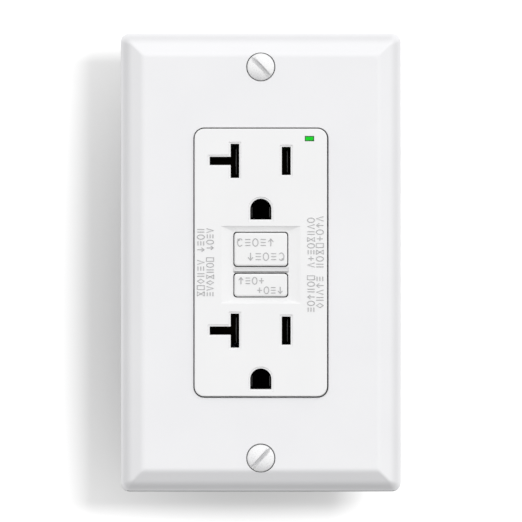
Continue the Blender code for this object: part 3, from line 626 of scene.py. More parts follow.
def oneSided(name, tone):
    # paint on the front only, so that the stage never hides the object from behind
    paint = bpy.data.materials.new(name)
    paint.use_nodes = True
    tree = paint.node_tree
    shader = tree.nodes["Principled BSDF"]
    shader.inputs["Roughness"].default_value = 0.9
    shader.inputs["Specular IOR Level"].default_value = 0.0
    where = tree.nodes.new("ShaderNodeTexCoord")
    clouds = addNode(tree, "ShaderNodeTexNoise", Scale=6.0)
    tones = tree.nodes.new("ShaderNodeValToRGB")
    tones.color_ramp.elements[0].color = (tone, tone, tone, 1)
    tones.color_ramp.elements[1].color = (tone + 0.01, tone + 0.01, tone + 0.01, 1)
    tree.links.new(where.outputs["Object"], clouds.inputs["Vector"])
    tree.links.new(clouds.outputs["Fac"], tones.inputs["Fac"])
    tree.links.new(tones.outputs["Color"], shader.inputs["Base Color"])
    side = tree.nodes.new("ShaderNodeNewGeometry")
    clear = tree.nodes.new("ShaderNodeBsdfTransparent")
    choose = tree.nodes.new("ShaderNodeMixShader")
    tree.links.new(side.outputs["Backfacing"], choose.inputs["Fac"])
    tree.links.new(shader.outputs["BSDF"], choose.inputs[1])
    tree.links.new(clear.outputs["BSDF"], choose.inputs[2])
    tree.links.new(choose.outputs["Shader"], tree.nodes["Material Output"].inputs["Surface"])
    return paint


def makeStage():
    paint = oneSided("studioPaper", 0.82)
    wide = studio["wallWidth"] / 2
    wallY, floorZ = studio["wallY"], studio["floorZ"]
    nearY, highZ = wallY - 2 * wide, floorZ + 2 * wide
    left, right = (-wide, wallY, floorZ), (wide, wallY, floorZ)
    corners = {
        "wall": [left, right, (wide, wallY, highZ), (-wide, wallY, highZ)],
        "floor": [(-wide, nearY, floorZ), (wide, nearY, floorZ), right, left],
    }
    stageObjects = bpy.data.collections.new("stageLightReceivers")
    for name, points in corners.items():
        bm = bmesh.new()
        bm.faces.new([bm.verts.new(Vector(point) * mm) for point in points])
        sheet = newPiece(name, bm)
        sheet.data.materials.append(paint)
        sheet.visible_diffuse = False
        sheet.visible_glossy = False
        sheet.visible_shadow = False
        stageObjects.objects.link(sheet)
    return stageObjects


def makeLight(name, place, target, size, power, receivers):
    lamp = bpy.data.lights.new(name, "AREA")
    lamp.shape = "RECTANGLE"
    lamp.size = size[0] * mm
    lamp.size_y = size[1] * mm
    lamp.energy = power
    light = addObject(name, lamp)
    light.location = Vector(place) * mm
    light.rotation_euler = (Vector(target) - Vector(place)).to_track_quat("-Z", "Y").to_euler()
    light.visible_camera = False
    light.light_linking.receiver_collection = receivers


makeCamera()
makeWorld()
stageObjects = makeStage()
makeLight(
    "shadowLight", studio["shadowLight"], (0.0, studio["wallY"], 0.0), studio["shadowSize"],
    studio["shadowPower"], stageObjects)
bpy.context.scene.view_settings.view_transform = "Standard"
bpy.context.scene.view_settings.look = "None"
print("camera, light and stage made")


def paintShadeOnSides(piece, chosen, tilt=0.5, finish="gapShade"):
    # painted shade: the chosen faces take a dark finish, mostly faces deep in a narrow gap, where little
    # light comes back out
    if finishes[finish].name not in piece.data.materials:
        piece.data.materials.append(finishes[finish])
    place = piece.data.materials.find(finishes[finish].name)
    for face in piece.data.polygons:
        if abs(face.normal.y) < tilt and chosen(face.center / mm):
            face.material_index = place


plate = {
    "halfX": 34.925, "halfZ": 57.15, "corner": 2.0,
    # how far in from the edge the surface is at each depth, from the flat face out to the wall
    "profile": [
        (6.42, -6.0), (6.14, -5.985), (5.84, -5.935), (5.54, -5.83), (5.24, -5.67),
        (4.9, -5.46), (4.1, -4.86), (3.2, -4.24), (2.75, -3.9), (2.35, -3.52),
        (1.9, -2.98), (1.5, -2.38), (1.1, -1.72), (0.7, -1.12), (0.4, -0.78),
        (0.2, -0.62), (0.06, -0.5), (0.0, -0.36), (0.0, -0.1), (0.08, 0.0),
    ],
    "rim": 1.6, "window": (16.63, 33.37, 2.6), "windowShift": (0.03, -0.05), "windowRound": 0.16,
    "screwZ": 48.42, "sink": 3.58, "hole": 2.15, "boss": 3.0, "ribX": 26.0,
}


def makeWallPlate():
    halfX, halfZ = plate["halfX"], plate["halfZ"]
    sections = []
    for inset, y in plate["profile"]:
        radius = max(0.5, plate["corner"] * (1 - inset / 3.4) + 0.12)
        sections.append((y, halfX - inset, halfZ - inset, radius))
    piece = loftRounded("wallPlate", sections, steps=5)
    rim = plate["rim"]
    hollow = loftRounded("hollow", [
        (-3.8, halfX - 6.4, halfZ - 6.4, 0.5), (-3.1, halfX - 5.0, halfZ - 5.0, 0.6),
        (-2.3, halfX - 3.8, halfZ - 3.8, 0.8), (-1.2, halfX - 2.6, halfZ - 2.6, 0.9),
        (-0.2, halfX - 1.8, halfZ - 1.8, 1.0), (1.0, halfX - rim, halfZ - rim, 1.0)], steps=4)
    windowX, windowZ, windowR = plate["window"]
    soft = plate["windowRound"]
    face = plate["profile"][0][1]
    window = loftRounded("window", [
        (face - 1.0, windowX + soft, windowZ + soft, windowR + soft),
        (face, windowX + soft, windowZ + soft, windowR + soft),
        (face + 0.07, windowX + soft * 0.45, windowZ + soft * 0.45, windowR + soft * 0.45),
        (face + 0.22, windowX, windowZ, windowR),
        (2.0, windowX, windowZ, windowR)], plate["windowShift"], 8)
    cutAway(piece, hollow, window)
    bosses = [rodShape("Y", (0, s * plate["screwZ"]), (-4.2, -1.5), plate["boss"]) for s in (1, -1)]
    ribs = []
    for x in (-plate["ribX"], plate["ribX"]):
        ribs.append(boxShape((x - 0.5, x + 0.5), (-4.0, -2.2), (-50.0, 50.0)))
    fuse(piece, *bosses, *ribs)
    sinkR, holeR, screwZ = plate["sink"], plate["hole"], plate["screwZ"]
    for sign in (1, -1):
        cutAway(piece, turnedShape("Y", (0, sign * screwZ), [
            (0, -7.5), (sinkR + 0.12, -7.5), (sinkR + 0.12, face), (sinkR, face + 0.1),
            (sinkR - 0.05, -5.1), (2.3, -4.35), (holeR, -4.2), (holeR, 1.0), (0, 1.0)]))
    dress(piece, "wall_plate", "whitePlate")
    reachX, reachZ, deep = windowX + 0.1, windowZ + 0.1, face + 0.3
    # painted shade on the walls of the window, deep in the gap round the cover
    paintShadeOnSides(piece, lambda at: abs(at.x) < reachX and abs(at.z) < reachZ and at.y > deep)
    # lighter painted shade on the left and top walls of the window, as if light fell from the upper right
    paintShadeOnSides(piece, lambda at: at.x < 0.1 - windowX < at.x + 0.2 and at.y > deep, finish="gapShadeSoft")
    paintShadeOnSides(
        piece, lambda at: abs(at.x) < windowX and 0 < reachZ - at.z < 0.2 and at.y > deep,
        finish="gapShadeSoft")
    # painted shade on the walls of the screw countersinks
    paintShadeOnSides(
        piece, lambda at: sinkR - 0.9 < math.hypot(at.x, abs(at.z) - screwZ) < sinkR and at.y > face + 0.15,
        0.75)
    # painted contact shadow along the lower edge where the plate meets the wall
    paintShadeOnSides(piece, lambda at: at.z < 0.3 - halfZ, 1.1, "gapShadeSoft")  # the edge that meets the wall below


makeWallPlate()
print("wall plate made")


cover = {
    "halfX": 16.4, "halfZ": 33.12, "corner": 2.4, "face": -6.6, "edge": 0.3,
    "bladeZ": (25.14, -16.86), "groundDrop": 11.97, "groundRadius": 2.62, "groundFlat": 2.54,
    "rimWidth": 0.5, "rimStep": 0.24, "rimLean": 0.17, "slotDeep": -4.2,
    # from one side of each slot to the other, and half its height
    "hotSlot": (5.19, 7.4, 3.49), "neutralSlot": (-7.46, -5.34, 4.22), "crossSlot": (-12.66, -6.4, 1.04),
    # depth below the face, half width, top and bottom of each level of the dish round the buttons
    "recess": [
        (-0.6, 10.1, 9.04, -10.2), (0.0, 10.0, 9.02, -10.18), (0.2, 9.45, 8.96, -9.94),
        (0.33, 8.98, 8.72, -9.8), (0.45, 8.45, 8.45, -9.66), (0.56, 7.95, 8.18, -9.52),
        (0.66, 7.45, 7.92, -9.4), (0.72, 7.05, 7.7, -9.25),
    ],
    # the same for the groove between the two buttons
    "trough": [
        (0.45, 7.0, -1.13, -2.52), (0.72, 7.0, -1.13, -2.52), (0.87, 6.9, -1.35, -2.49),
        (0.99, 6.8, -1.57, -2.46), (1.09, 6.75, -1.8, -2.43), (1.16, 6.7, -2.05, -2.4),
        (1.18, 6.65, -2.2, -2.36),
    ],
    "reset": (0.0, 3.25, 6.78, 4.34), "test": (0.0, -5.6, 6.78, 3.05),
    "shellX": 21.2, "shellZ": 35.0, "shoulder": -2.8, "split": 7.7, "wall": 1.6,
}


def rimSteps(deep):
    # depth, spread and lean of the upper edge: a fine step down, a narrow ledge, then the slot itself
    face, wide, step = cover["face"], cover["rimWidth"], cover["rimStep"]
    return [
        (face - 0.5, wide, 0), (face, wide, 0), (face + step, wide - 0.03, cover["rimLean"]),
        (face + step + 0.01, 0.06, 0), (face + step + 0.03, 0.01, 0), (face + step + 0.1, 0.0, 0),
        (deep, 0.0, 0),
    ]


def slotCutter(x, z, deep):
    loops = []
    for y, spread, lean in rimSteps(deep):
        halfX, halfZ = (x[1] - x[0]) / 2 + spread, (z[1] - z[0] - lean) / 2 + spread
        middle = ((x[0] + x[1]) / 2, (z[0] + z[1] - lean) / 2)
        loop = roundedLoop(halfX, halfZ, 0.06 + spread * 0.3, 3)
        loops.append((y, [(a + middle[0], b + middle[1]) for a, b in loop]))
    return loftLoops("slot", loops)


def groundLoop(radius, flat, lean, steps=28):
    loop = [(-radius, -flat), (radius, -flat)]
    for i in range(steps + 1):
        angle = math.pi * i / steps
        loop.append((radius * math.cos(angle), (radius - lean) * math.sin(angle)))
    return loop


def groundCutter(centreZ, deep):
    radius, flat = cover["groundRadius"], cover["groundFlat"]
    loops = [(y, groundLoop(radius + spread, flat + spread, lean)) for y, spread, lean in rimSteps(deep)]
    return loftLoops("ground", loops, (0, centreZ))


def dishCutter(name, levels):
    loops = []
    for depth, halfX, top, bottom in levels:
        loop = roundedLoop(halfX, (top - bottom) / 2, 0.15, 3)
        loops.append((cover["face"] + depth, [(x, z + (top + bottom) / 2) for x, z in loop]))
    return loftLoops(name, loops)


def makeFrontCover():
    face = cover["face"]
    halfX, halfZ, corner, edge = cover["halfX"], cover["halfZ"], cover["corner"], cover["edge"]
    piece = loftRounded("frontCover", [
        (face, halfX - edge, halfZ - edge, corner - edge * 0.8),
        (face + edge * 0.12, halfX - edge * 0.6, halfZ - edge * 0.6, corner - edge * 0.5),
        (face + edge * 0.4, halfX - edge * 0.2, halfZ - edge * 0.2, corner - edge * 0.2),
        (face + edge, halfX, halfZ, corner), (cover["shoulder"] + 0.6, halfX, halfZ, corner)], steps=8)
    shellX, shellZ, split = cover["shellX"], cover["shellZ"], cover["split"]
    skirt = boxShape((-shellX, shellX), (cover["shoulder"], split), (-shellZ, shellZ))
    roundEdges(skirt, 0.5, 3)
    fuse(piece, skirt)
    innerX, innerZ = shellX - cover["wall"], shellZ - cover["wall"]
    cutAway(
        piece,
        boxShape((-14.9, 14.9), (-4.6, 0.0), (-32.4, 31.9)),
        boxShape((-innerX, innerX), (-1.5, split + 1), (-innerZ, innerZ)))
    fuse(piece, boxShape((-8.4, 8.4), (-4.9, -4.0), (-9.5, 8.3)))
    cutAway(piece, dishCutter("recess", cover["recess"]))
    holes = []
    floor = face + cover["recess"][-1][0]
    for x, z, holeX, holeZ in (cover["reset"], cover["test"]):
        holes.append(loftRounded("hole", [
            (face - 0.5, holeX + 0.1, holeZ + 0.1, 0.85), (floor, holeX + 0.1, holeZ + 0.1, 0.85),
            (floor + 0.1, holeX, holeZ, 0.8), (-3.0, holeX, holeZ, 0.8)], centre=(x, z), steps=6))
    cutAway(piece, *holes)
    cutAway(piece, dishCutter("trough", cover["trough"]))
    for bladeZ in cover["bladeZ"]:
        cutters = []
        for left, right, tall in (cover["hotSlot"], cover["neutralSlot"], cover["crossSlot"]):
            cutters.append(slotCutter((left, right), (bladeZ - tall, bladeZ + tall), cover["slotDeep"]))
        cutAway(piece, *cutters, groundCutter(bladeZ - cover["groundDrop"], cover["slotDeep"]))
    low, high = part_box("light_pipe")
    window = boxShape(
        (low.x / mm - 0.06, high.x / mm + 0.06), (face - 1, 0), (low.z / mm - 0.06, high.z / mm + 0.06))
    notches = []
    for sign in (1, -1):
        spanZ = sorted((sign * (innerZ - 0.5), sign * 36.0))
        notches.append(boxShape((-10.3, 10.3), (-1.5, split + 1), spanZ))
    screwHole = rodShape("Z", (-13.6, 5.0), (-36.0, -32.4), 2.4)
    cutAway(piece, window, *notches, screwHole)
    dress(piece, "front_cover", "whiteFace", smoothAngle=24)
    start, stop, sideX, sideZ = face + 0.45, cover["shoulder"], halfX - 0.9, halfZ - 0.9
    # painted shade on the cover's sides in the gap to the plate and on the walls of the button holes
    paintShadeOnSides(piece, lambda at: start < at.y < stop + 0.1 and (abs(at.x) > sideX or abs(at.z) > sideZ))
    paintShadeOnSides(piece, lambda at: at.y > floor + 0.08 and abs(at.x) < 6.9 and -9.0 < at.z < 7.8)
    # lighter painted shade on the left and top sides, as if light fell from the upper right
    paintShadeOnSides(
        piece, lambda at: start < at.y < stop and (at.x < -sideX or at.z > sideZ), finish="gapShadeSoft")


makeFrontCover()
print("front cover made")


# plain raised marks stand where the real face has its moulded words; on the face and buttons their grey
# finish is painted shade for the relief
marks = {"stroke": 0.12, "sink": -0.02, "height": 1.75}


def markStrokes(kind):
    # strokes of one mark in a box 1 wide and 1 high, as lists of points
    ring = []
    for step in range(19):
        angle = step * math.pi / 9
        ring.append((0.5 + 0.42 * math.cos(angle), 0.5 + 0.5 * math.sin(angle)))
    shapes = {
        "ring": [ring],
        "bar": [[(0.1, 0.5), (0.9, 0.5)]],
        "twin": [[(0.25, 0.0), (0.25, 1.0)], [(0.75, 0.0), (0.75, 1.0)]],
        "peak": [[(0.1, 0.0), (0.5, 1.0), (0.9, 0.0)]],
        "box": [[(0.12, 0.0), (0.88, 0.0), (0.88, 1.0), (0.12, 1.0), (0.12, 0.0)]],
        "turn": [ring[2:17], [(0.12, 0.98), (0.2, 0.72), (0.45, 0.84)]],
        "plus": [[(0.5, 0.1), (0.5, 0.9)], [(0.1, 0.5), (0.9, 0.5)]],
        "bars": [[(0.1, 0.1), (0.9, 0.1)], [(0.1, 0.5), (0.9, 0.5)], [(0.1, 0.9), (0.9, 0.9)]],
        "diamond": [[(0.5, 0.0), (0.9, 0.5), (0.5, 1.0), (0.1, 0.5), (0.5, 0.0)]],
        "glass": [[(0.1, 1.0), (0.9, 1.0), (0.1, 0.0), (0.9, 0.0), (0.1, 1.0)]],
        "arrow": [[(0.5, 0.0), (0.5, 1.0)], [(0.12, 0.6), (0.5, 1.0), (0.88, 0.6)]],
    }
    return shapes[kind]


def makeMarks(name, node, rows, faceLevel, finish, inward=1):
    # each row: start x, start z, heading in degrees, mark kinds, mark width, mark height
    strokes = []
    for startX, startZ, heading, kinds, width, height in rows:
        turn = math.radians(heading)
        for i, kind in enumerate(kinds):
            for stroke in markStrokes(kind) if kind else []:
                line = []
                for u, v in stroke:
                    along, up = (i + u * 0.82) * width, v * height
                    x = startX + along * math.cos(turn) - up * math.sin(turn)
                    z = startZ + along * math.sin(turn) + up * math.cos(turn)
                    line.append(Vector((x, faceLevel + inward * marks["sink"], z)) * mm)
                strokes.append(line)
    piece = addObject(name, wireMesh(name, strokes, marks["stroke"] * mm, 1, finish))
    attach(piece, bodyOf[node])


# None leaves a gap between two groups
leftInner = [
    "peak", "bars", "ring", "arrow", None, "box", "ring", "twin", "glass", "diamond", "peak", "bars"]
leftOuter = ["twin", "ring", "bars", "arrow", None, "peak", "bars", "twin", "diamond", "box", "glass"]
rightInner = [
    "bars", "ring", "arrow", "twin", "ring", "box", None, "peak",
    "plus", "bars", "ring", "glass", "twin", "peak", "ring"]
rightOuter = [
    "diamond", "twin", "peak", "arrow", "bars", None, "twin",
    "ring", "glass", "box", "plus", "ring", "arrow", "peak"]
faceRows = [
    (-13.4, 8.5, -90, leftInner, 1.43, marks["height"]),
    (-15.7, 8.5, -90, leftOuter, 1.56, marks["height"]),
    (13.3, -12.3, 90, rightInner, 1.58, marks["height"]),
    (15.5, -11.3, 90, rightOuter, 1.65, marks["height"]),
]
makeMarks("faceMarks", "front_cover", faceRows, cover["face"], "markReliefShade")
print("marks made")


buttons = {
    "reset_button": {
        "centre": (0.0, 3.25), "half": (6.55, 4.11), "face": -6.5, "back": -0.4,
        "flange": (-1.4, -0.5, 3.3), "hidden": 3.4,
    },
    "test_button": {
        "centre": (0.0, -5.6), "half": (6.55, 2.82), "face": -6.4, "back": -2.9,
        "flange": (-3.7, -3.0, 2.2), "hidden": 1.1,
    },
}


def makeButton(node, spec, rows):
    halfX, halfZ = spec["half"]
    face = spec["face"]
    piece = loftRounded(node + "Cap", [
        (face, halfX - 0.5, halfZ - 0.5, 0.45), (face + 0.04, halfX - 0.3, halfZ - 0.3, 0.55),
        (face + 0.14, halfX - 0.12, halfZ - 0.12, 0.66), (face + 0.3, halfX - 0.02, halfZ - 0.02, 0.74),
        (face + 0.42, halfX, halfZ, 0.76), (face + spec["hidden"] - 0.1, halfX, halfZ, 0.76),
        (spec["back"], halfX, halfZ, 0.76)], centre=spec["centre"], steps=8)
    front, back, tall = spec["flange"]
    z = spec["centre"][1]
    fuse(piece, boxShape((-7.9, 7.9), (front, back), (z - tall, z + tall)))
    if node == "reset_button":
        cutAway(piece, boxShape((-5.4, 5.4), (-5.4, 1.0), (z - 3.0, z + 3.0)))
    else:
        fuse(piece, rodShape("Y", (0, z), (-3.2, -1.7), 1.2))
    dress(piece, node, "whiteButton")
    hidden = face + spec["hidden"]  # the sides past this depth never leave the cover
    # painted shade on the sides of the button deep in its hole
    paintShadeOnSides(piece, lambda at: hidden < at.y < front - 0.1 and (
        abs(at.x) > halfX - 0.9 or abs(at.z - z) > halfZ - 0.9))
    makeMarks(node + "Marks", node, rows, face, "markReliefShade")


resetKinds = ["turn", "bars", "ring", "bars", "arrow"]
testKinds = ["arrow", "bars", "ring", "plus"]
makeButton("reset_button", buttons["reset_button"], [
    (-5.9, 4.05, 0, resetKinds, 1.9, 1.85), (5.85, 2.4, 180, resetKinds, 1.9, 1.85)])
makeButton("test_button", buttons["test_button"], [
    (-5.6, -5.35, 0, testKinds, 1.7, 1.7), (5.5, -6.0, 180, testKinds, 1.7, 1.7)])
print("buttons made")


plateScrew = {
    "z": 48.42, "radius": 3.34, "top": -6.98, "rim": -6.12, "shank": 1.75, "tip": 10.0,
    "slot": 0.4, "pitch": 0.794,
}


def makePlateScrew(node, sign, slotAngle):
    z = sign * plateScrew["z"]
    centre = (0, z)
    top, rim, radius = plateScrew["top"], plateScrew["rim"], plateScrew["radius"]
    dome = []
    for i in range(9):
        share = i / 8
        dome.append((radius * 0.97 * share, top + (rim - top) * (0.8 * share ** 2 + 0.2 * share ** 4)))
    dome[0] = (0, top)
    profile = dome + [
        (radius, rim + 0.12), (radius - 0.05, rim + 0.22), (1.9, -4.3), (1.6, -4.2),
        (1.45, -3.4), (1.45, 8.6), (0, 8.6)]
    piece = turnedShape("Y", centre, profile, 64, node + "Head")
    wide = plateScrew["slot"]
    slot = loftRounded("slot", [
        (-8.0, wide + 0.16, 4.4, 0.05), (top, wide + 0.15, 4.4, 0.05),
        (top + 0.7, wide - 0.12, 4.4, 0.04), (top + 0.95, wide - 0.18, 4.4, 0.03)], steps=2)
    lean = math.radians(slotAngle)
    slot.matrix_world = Matrix.Translation((0, 0, z * mm)) @ Matrix.Rotation(lean, 4, "Y")
    bpy.context.view_layer.update()
    cutAway(piece, slot)
    thread = threadedRod(
        node + "Thread", "Y", centre, -3.5, plateScrew["tip"], plateScrew["shank"],
        plateScrew["pitch"], 0.42)
    dress(piece, node, "whiteEnamel", [thread])
    # painted shade under the head's rim, in the ring gap to the plate
    paintShadeOnSides(piece, lambda at: at.y > rim + 0.1 and math.hypot(at.x, at.z - z) > 2.0, 1.1)
    across = Vector((math.cos(lean), -math.sin(lean)))

    def inSlot(at):
        offset = Vector((at.x, at.z - z))
        deepEnough = top + 0.15 < at.y < top + 1.0
        return deepEnough and offset.length < 3.25 and abs(across.dot(offset)) < wide + 0.2

    # painted shade in the slot: its floor and the walls that face down take a darker grey; walls that face
    # up keep the white enamel, as if lit from above
    paintShadeOnSides(piece, inSlot, 1.1, "slotFloorShade")
    for face in piece.data.polygons:
        if abs(face.normal.y) < 0.9 and face.normal.z > 0 and inSlot(face.center / mm):
            face.material_index = 0


makePlateScrew("plate_screw_upper", 1, -44.0)
makePlateScrew("plate_screw_lower", -1, 43.0)
print("plate screws made")


def makeLightPipe():
    # the small window beside the buttons, with a darker rim
    low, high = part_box("light_pipe")
    halfX, halfZ = (high.x - low.x) / mm / 2, (high.z - low.z) / mm / 2
    centre = ((high.x + low.x) / mm / 2, (high.z + low.z) / mm / 2)
    piece = loftRounded("lightPipe", [
        (-6.52, halfX - 0.2, halfZ - 0.2, 0.08), (-6.42, halfX - 0.06, halfZ - 0.06, 0.1),
        (-6.25, halfX, halfZ, 0.12), (high.y / mm, halfX, halfZ, 0.12)], centre, 3)
    dress(piece, "light_pipe")
    piece.data.materials.append(finishes["greenRim"])
    for face in piece.data.polygons:
        if face.normal.y > -0.98:
            face.material_index = 1


makeLightPipe()


def makeWellFloors():
    # the floors of the two grounding wells, in a near-black matt finish: black plastic darkened further as
    # painted shade
    for half, bladeZ in zip(("upper", "lower"), cover["bladeZ"]):
        z = bladeZ - cover["groundDrop"]
        floor = loftRounded("groundWellFloor_" + half, [
            (10.75, 3.0, 3.0, 0.6), (10.85, 3.15, 3.15, 0.7), (11.35, 3.15, 3.15, 0.7)], (0, z + 0.3), 5)
        floor.data.materials.append(finishes["wellBlackShade"])
        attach(floor, "housing")


makeWellFloors()


# wound finer than the solids they stand for; the wire is in millimetres
springs = {
    "reset_spring": {"wire": 0.25, "turns": 5},
    "plunger_spring": {"wire": 0.15, "turns": 4, "travel": 1.6},
}


def makeSpring(node, axis):
    low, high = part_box(node)
    wire, turns = springs[node]["wire"] * mm, springs[node]["turns"]
    middle = (low + high) / 2
    radius = (high.x - low.x) / 2 - wire
    start, end = (low.y, high.y) if axis == "Y" else (low.z, high.z)
    steps = turns * 32
    path = []
    for i in range(steps + 1):
        turn = turns * i / steps
        # the first and last half turns lie nearly flat, as ground ends do
        share = min(1.0, max(0.0, (turn - 0.5) / (turns - 1.0)))
        along = start + wire + (end - start - 2 * wire) * (share * 0.94 + 0.06 * i / steps)
        angle = 2 * math.pi * turn
        u, v = radius * math.cos(angle), radius * math.sin(angle)
        if axis == "Y":
            path.append((middle.x + u, along, middle.z + v))
        else:
            path.append((middle.x + u, middle.y + v, along))
    mesh = wireMesh(node, [path], wire, 3, "springSteel")
    mesh.polygons.foreach_set("use_smooth", [True] * len(mesh.polygons))
    piece = addObject(node + "Coil", mesh)
    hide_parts(node)
    return piece, middle, start, end


coilPiece, middle, start, end = makeSpring("reset_spring", "Y")
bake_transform(coilPiece)
coilPiece, middle, start, end = makeSpring("plunger_spring", "Z")
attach(coilPiece, "housing")
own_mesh(coilPiece)
print("springs made")


lips = {"y": -2.4, "width": 0.42, "slotX": (6.62, -6.1), "groundX": (-2.26, 2.26)}


def makeContactLips():
    # the rounded black guides that lead a blade into its clip
    for half, bladeZ in zip(("upper", "lower"), cover["bladeZ"]):
        groundZ = bladeZ - cover["groundDrop"]
        spots = [(lips["slotX"][0], bladeZ, 2.9), (lips["slotX"][1], bladeZ, 3.4)]
        spots += [(x, groundZ - 0.7, 1.5) for x in lips["groundX"]]
        for i, (x, z, tall) in enumerate(spots):
            wide = lips["width"] / 2
            lip = loftRounded(f"contactLip_{half}_{i}", [
                (lips["y"], wide * 0.3, tall - 0.3, 0.05), (lips["y"] + 0.05, wide * 0.62, tall - 0.1, 0.1),
                (lips["y"] + 0.16, wide * 0.9, tall, 0.15), (lips["y"] + 0.32, wide, tall, 0.2),
                (-0.4, wide, tall, 0.2)], (x, z), 4)
            lip.data.materials.append(finishes["contactGloss"])
            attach(lip, "housing")


makeContactLips()


shell = {
    "halfX": 21.2, "halfZ": 35.0, "front": 8.0, "back": 28.0, "wall": 1.6,
    "posts": [(x, z) for x in (-16.8, 16.8) for z in (-31.3, 31.3)],
    "terminalZ": (15.0, -19.0), "windowY": (9.8, 20.2), "windowHalf": 5.5, "wireHole": 1.3,
}


def makeRearShell():
    halfX, halfZ, front, back = shell["halfX"], shell["halfZ"], shell["front"], shell["back"]
    piece = loftRounded("rearShell", [
        (front, halfX, halfZ, 1.2), (back - 2.4, halfX, halfZ, 1.2),
        (back - 1.3, halfX - 0.16, halfZ - 0.16, 1.3), (back - 0.5, halfX - 0.6, halfZ - 0.6, 1.5),
        (back, halfX - 1.4, halfZ - 1.4, 1.8)], steps=6)
    innerX, innerZ = halfX - shell["wall"], halfZ - shell["wall"]
    cutAway(piece, loftRounded("inside", [
        (front - 1, innerX, innerZ, 0.6), (back - shell["wall"], innerX, innerZ, 0.6)], steps=4))
    tongues = []
    for sign in (1, -1):
        spanZ = sorted((sign * (innerZ + 0.1), sign * (halfZ - 0.1)))
        tongues.append(boxShape((-10, 10), (0.3, front + 1), spanZ))
    posts = [rodShape("Y", post, (front + 0.2, back - 0.4), 2.5, steps=32) for post in shell["posts"]]
    fuse(piece, *tongues, *posts)
    cuts = []
    for post in shell["posts"]:
        cuts.append(rodShape("Y", post, (front - 1, back + 1), 1.55, steps=32))
        cuts.append(rodShape("Y", post, (back - 1.7, back + 1.5), 2.4, 3.4, steps=32))
    for z in shell["terminalZ"]:
        for side in (-1, 1):
            low, high = z - shell["windowHalf"], z + shell["windowHalf"]
            spanX = sorted((side * (innerX - 1), side * (halfX + 1)))
            cuts.append(roundEdges(boxShape(spanX, shell["windowY"], (low, high)), 0.5, 3))
            for offset in (-3.6, 3.6):
                hole = (side * 17.2, z + offset)
                cuts.append(rodShape("Y", hole, (back - 3, back + 1), shell["wireHole"], steps=28))
                cuts.append(rodShape("Y", hole, (back - 0.7, back + 0.3), shell["wireHole"], 2.3, steps=28))
    # a shallow label panel and the strip gauge beside it
    panel = loftRounded("panel", [(back - 0.25, 12.4, 8.6, 0.8), (back + 1, 12.7, 8.9, 1.0)], (0, 16.0), 4)
    gauge = boxShape((-5.5, 5.5), (back - 0.45, back + 1), (-29.0, -27.6))
    cuts += [panel, roundEdges(gauge, 0.3, 2)]
    cutAway(piece, *cuts)
    ribs = []
    for z in (-6.0, -9.5, -13.0):
        rib = boxShape((-11.0, 11.0), (back - 0.4, back + 0.35), (z - 0.45, z + 0.45))
        ribs.append(roundEdges(rib, 0.2))
    fuse(piece, *ribs)
    roundEdges(piece, 0.12, 2, 50)
    dress(piece, "back_body")


makeRearShell()
backRows = []
for x in (13.0, -6.6):
    for z, last in ((17.2, "ring"), (-17.0, "twin")):
        backRows.append((x, z, 180, ["peak", "bar", last], 2.2, 1.9))
makeMarks("rearMarks", "back_body", backRows, shell["back"], "greyPlastic", -1)
print("rear shell made")


def makeStrap():
    piece = copyNode("mounting_strap", "strap")
    roundEdges(piece, 0.14, 2, 40)
    dress(piece, "mounting_strap")


boxScrew = {"z": 41.65, "head": 3.3, "top": -3.4, "shank": 1.7, "tip": 20.0, "pitch": 0.794}


def makeBoxScrew(node, sign):
    centre = (0, sign * boxScrew["z"])
    head, top = boxScrew["head"], boxScrew["top"]
    piece = turnedShape("Y", centre, [
        (0, top), (head * 0.55, top + 0.03), (head * 0.82, top + 0.18), (head * 0.95, top + 0.42),
        (head, top + 0.8), (head, -1.62), (head - 0.12, -1.5), (1.6, -1.5), (1.3, -1.3), (1.3, 18.5),
        (0, 18.5)], 48, node + "Head")
    slots = [
        boxShape((-0.45, 0.45), (-5, -2.4), (centre[1] - 2.1, centre[1] + 2.1)),
        boxShape((-4.2, 4.2), (-5, -2.5), (centre[1] - 0.5, centre[1] + 0.5))]
    cutAway(piece, *slots)
    thread = threadedRod(
        node + "Thread", "Y", centre, -1.3, boxScrew["tip"], boxScrew["shank"], boxScrew["pitch"], 0.42)
    dress(piece, node, riders=[thread])


def makeWasher(node, sign):
    z = sign * boxScrew["z"]
    piece = loftRounded("washer", [
        (0.3, 4.1, 3.3, 0.5), (0.38, 4.2, 3.4, 0.6),
        (0.82, 4.2, 3.4, 0.6), (0.9, 4.1, 3.3, 0.5)], (0, z), 5)
    cutAway(piece, rodShape("Y", (0, z), (-1, 2), 1.95, steps=32))
    dress(piece, node)


makeStrap()
for nodeName, sign in (("upper", 1), ("lower", -1)):
    makeBoxScrew("box_screw_" + nodeName, sign)
    makeWasher("screw_washer_" + nodeName, sign)
print("strap made")


terminal = {"y": 15.0, "head": 4.2, "top": 21.9, "seat": 19.4, "shank": 2.05, "tip": 13.9, "pitch": 0.794}


def crossSlots(side, y, z, depth, top, reach, half):
    cuts = []
    for tall in (False, True):
        spanY = (y - reach, y + reach) if tall else (y - half, y + half)
        spanZ = (z - half, z + half) if tall else (z - reach, z + reach)
        cuts.append(boxShape(sorted((side * (top - depth), side * (top + 1))), spanY, spanZ))
    return cuts


def makeTerminalScrew(node, side, z):
    head, top, seat = terminal["head"], terminal["top"], terminal["seat"]
    profile = [
        (0, top), (head * 0.6, top - 0.02), (head * 0.86, top - 0.16), (head * 0.97, top - 0.5),
        (head, top - 0.9), (head, seat + 0.15), (head - 0.15, seat), (1.9, seat), (1.6, seat - 0.3),
        (1.6, 15.0), (0, 15.0)]
    turned = [(radius, side * along) for radius, along in profile]
    piece = turnedShape("X", (terminal["y"], z), turned, 56, node + "Head")
    cutAway(piece, *crossSlots(side, terminal["y"], z, 1.0, top, 3.1, 0.5))
    thread = threadedRod(
        node + "Thread", "X", (terminal["y"], z), side * (seat - 0.2), side * terminal["tip"],
        terminal["shank"], terminal["pitch"], 0.45)
    dress(piece, node, riders=[thread])


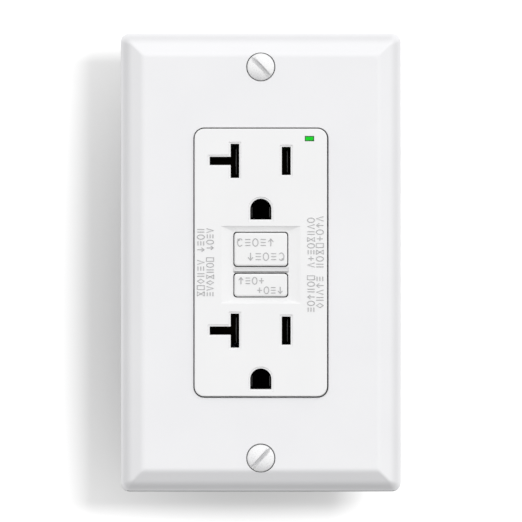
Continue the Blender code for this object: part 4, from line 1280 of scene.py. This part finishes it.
def makeClamp(node, side, z):
    piece = copyNode(node, node + "Plate")
    # the wire grooves across its gripping face
    grooves = []
    across = sorted((side * 17.72, side * 18.2))
    for k in range(9):
        height = terminal["y"] - 3.6 + k * 0.9
        grooves.append(boxShape(across, (height - 0.18, height + 0.18), (z - 5, z + 5)))
    cutAway(piece, *grooves)
    roundEdges(piece, 0.15, 2, 40)
    dress(piece, node)


def makeGroundScrew():
    x, y, top = -13.6, 5.0, -39.6
    piece = turnedShape("Z", (x, y), [
        (0, top), (2.4, top + 0.02), (3.4, top + 0.2), (3.8, top + 0.6), (3.9, top + 1.0), (3.9, -36.95),
        (3.75, -36.8), (1.7, -36.8), (1.45, -36.6), (1.45, -34.6), (0, -34.6)], 48, "groundScrewHead")
    slots = [
        boxShape((x - 3.0, x + 3.0), (y - 0.5, y + 0.5), (top - 1, top + 1.1)),
        boxShape((x - 0.5, x + 0.5), (y - 3.0, y + 3.0), (top - 1, top + 1.1))]
    cutAway(piece, *slots)
    thread = threadedRod("groundScrewThread", "Z", (x, y), -36.7, -34.2, 1.9, 0.794, 0.42)
    dress(piece, "ground_screw", riders=[thread])


def makeCaseScrew(node, x, z):
    back = shell["back"]
    piece = turnedShape("Y", (x, z), [
        (0, 1.4), (0.9, 1.4), (1.25, 2.2), (1.25, back - 1.6), (1.9, back - 1.35), (2.68, back - 0.25),
        (2.68, back - 0.15), (2.3, back - 0.1), (0, back - 0.1)], 32, node + "Body")
    cutAway(
        piece,
        boxShape((x - 1.6, x + 1.6), (back - 0.8, back + 1), (z - 0.28, z + 0.28)),
        boxShape((x - 0.28, x + 0.28), (back - 0.8, back + 1), (z - 1.6, z + 1.6)))
    dress(piece, node)


for metal, side in (("hot", 1), ("neutral", -1)):
    for wire, z in zip(("load", "line"), shell["terminalZ"]):
        makeTerminalScrew(f"{metal}_{wire}_screw", side, z)
        makeClamp(f"{metal}_{wire}_clamp", side, z)
makeGroundScrew()
for x, z in shell["posts"]:
    corner = f"{'upper' if z > 0 else 'lower'}_{'left' if x < 0 else 'right'}"
    makeCaseScrew("assembly_screw_" + corner, x, z)
print("screws made")


# every CAD node that stays gets its procedural finish
for node, cadObject in frame["nodes"].items():
    cadObject.data.materials.clear()
    cadObject.data.materials.append(finishFor(node))
print("nodes finished")
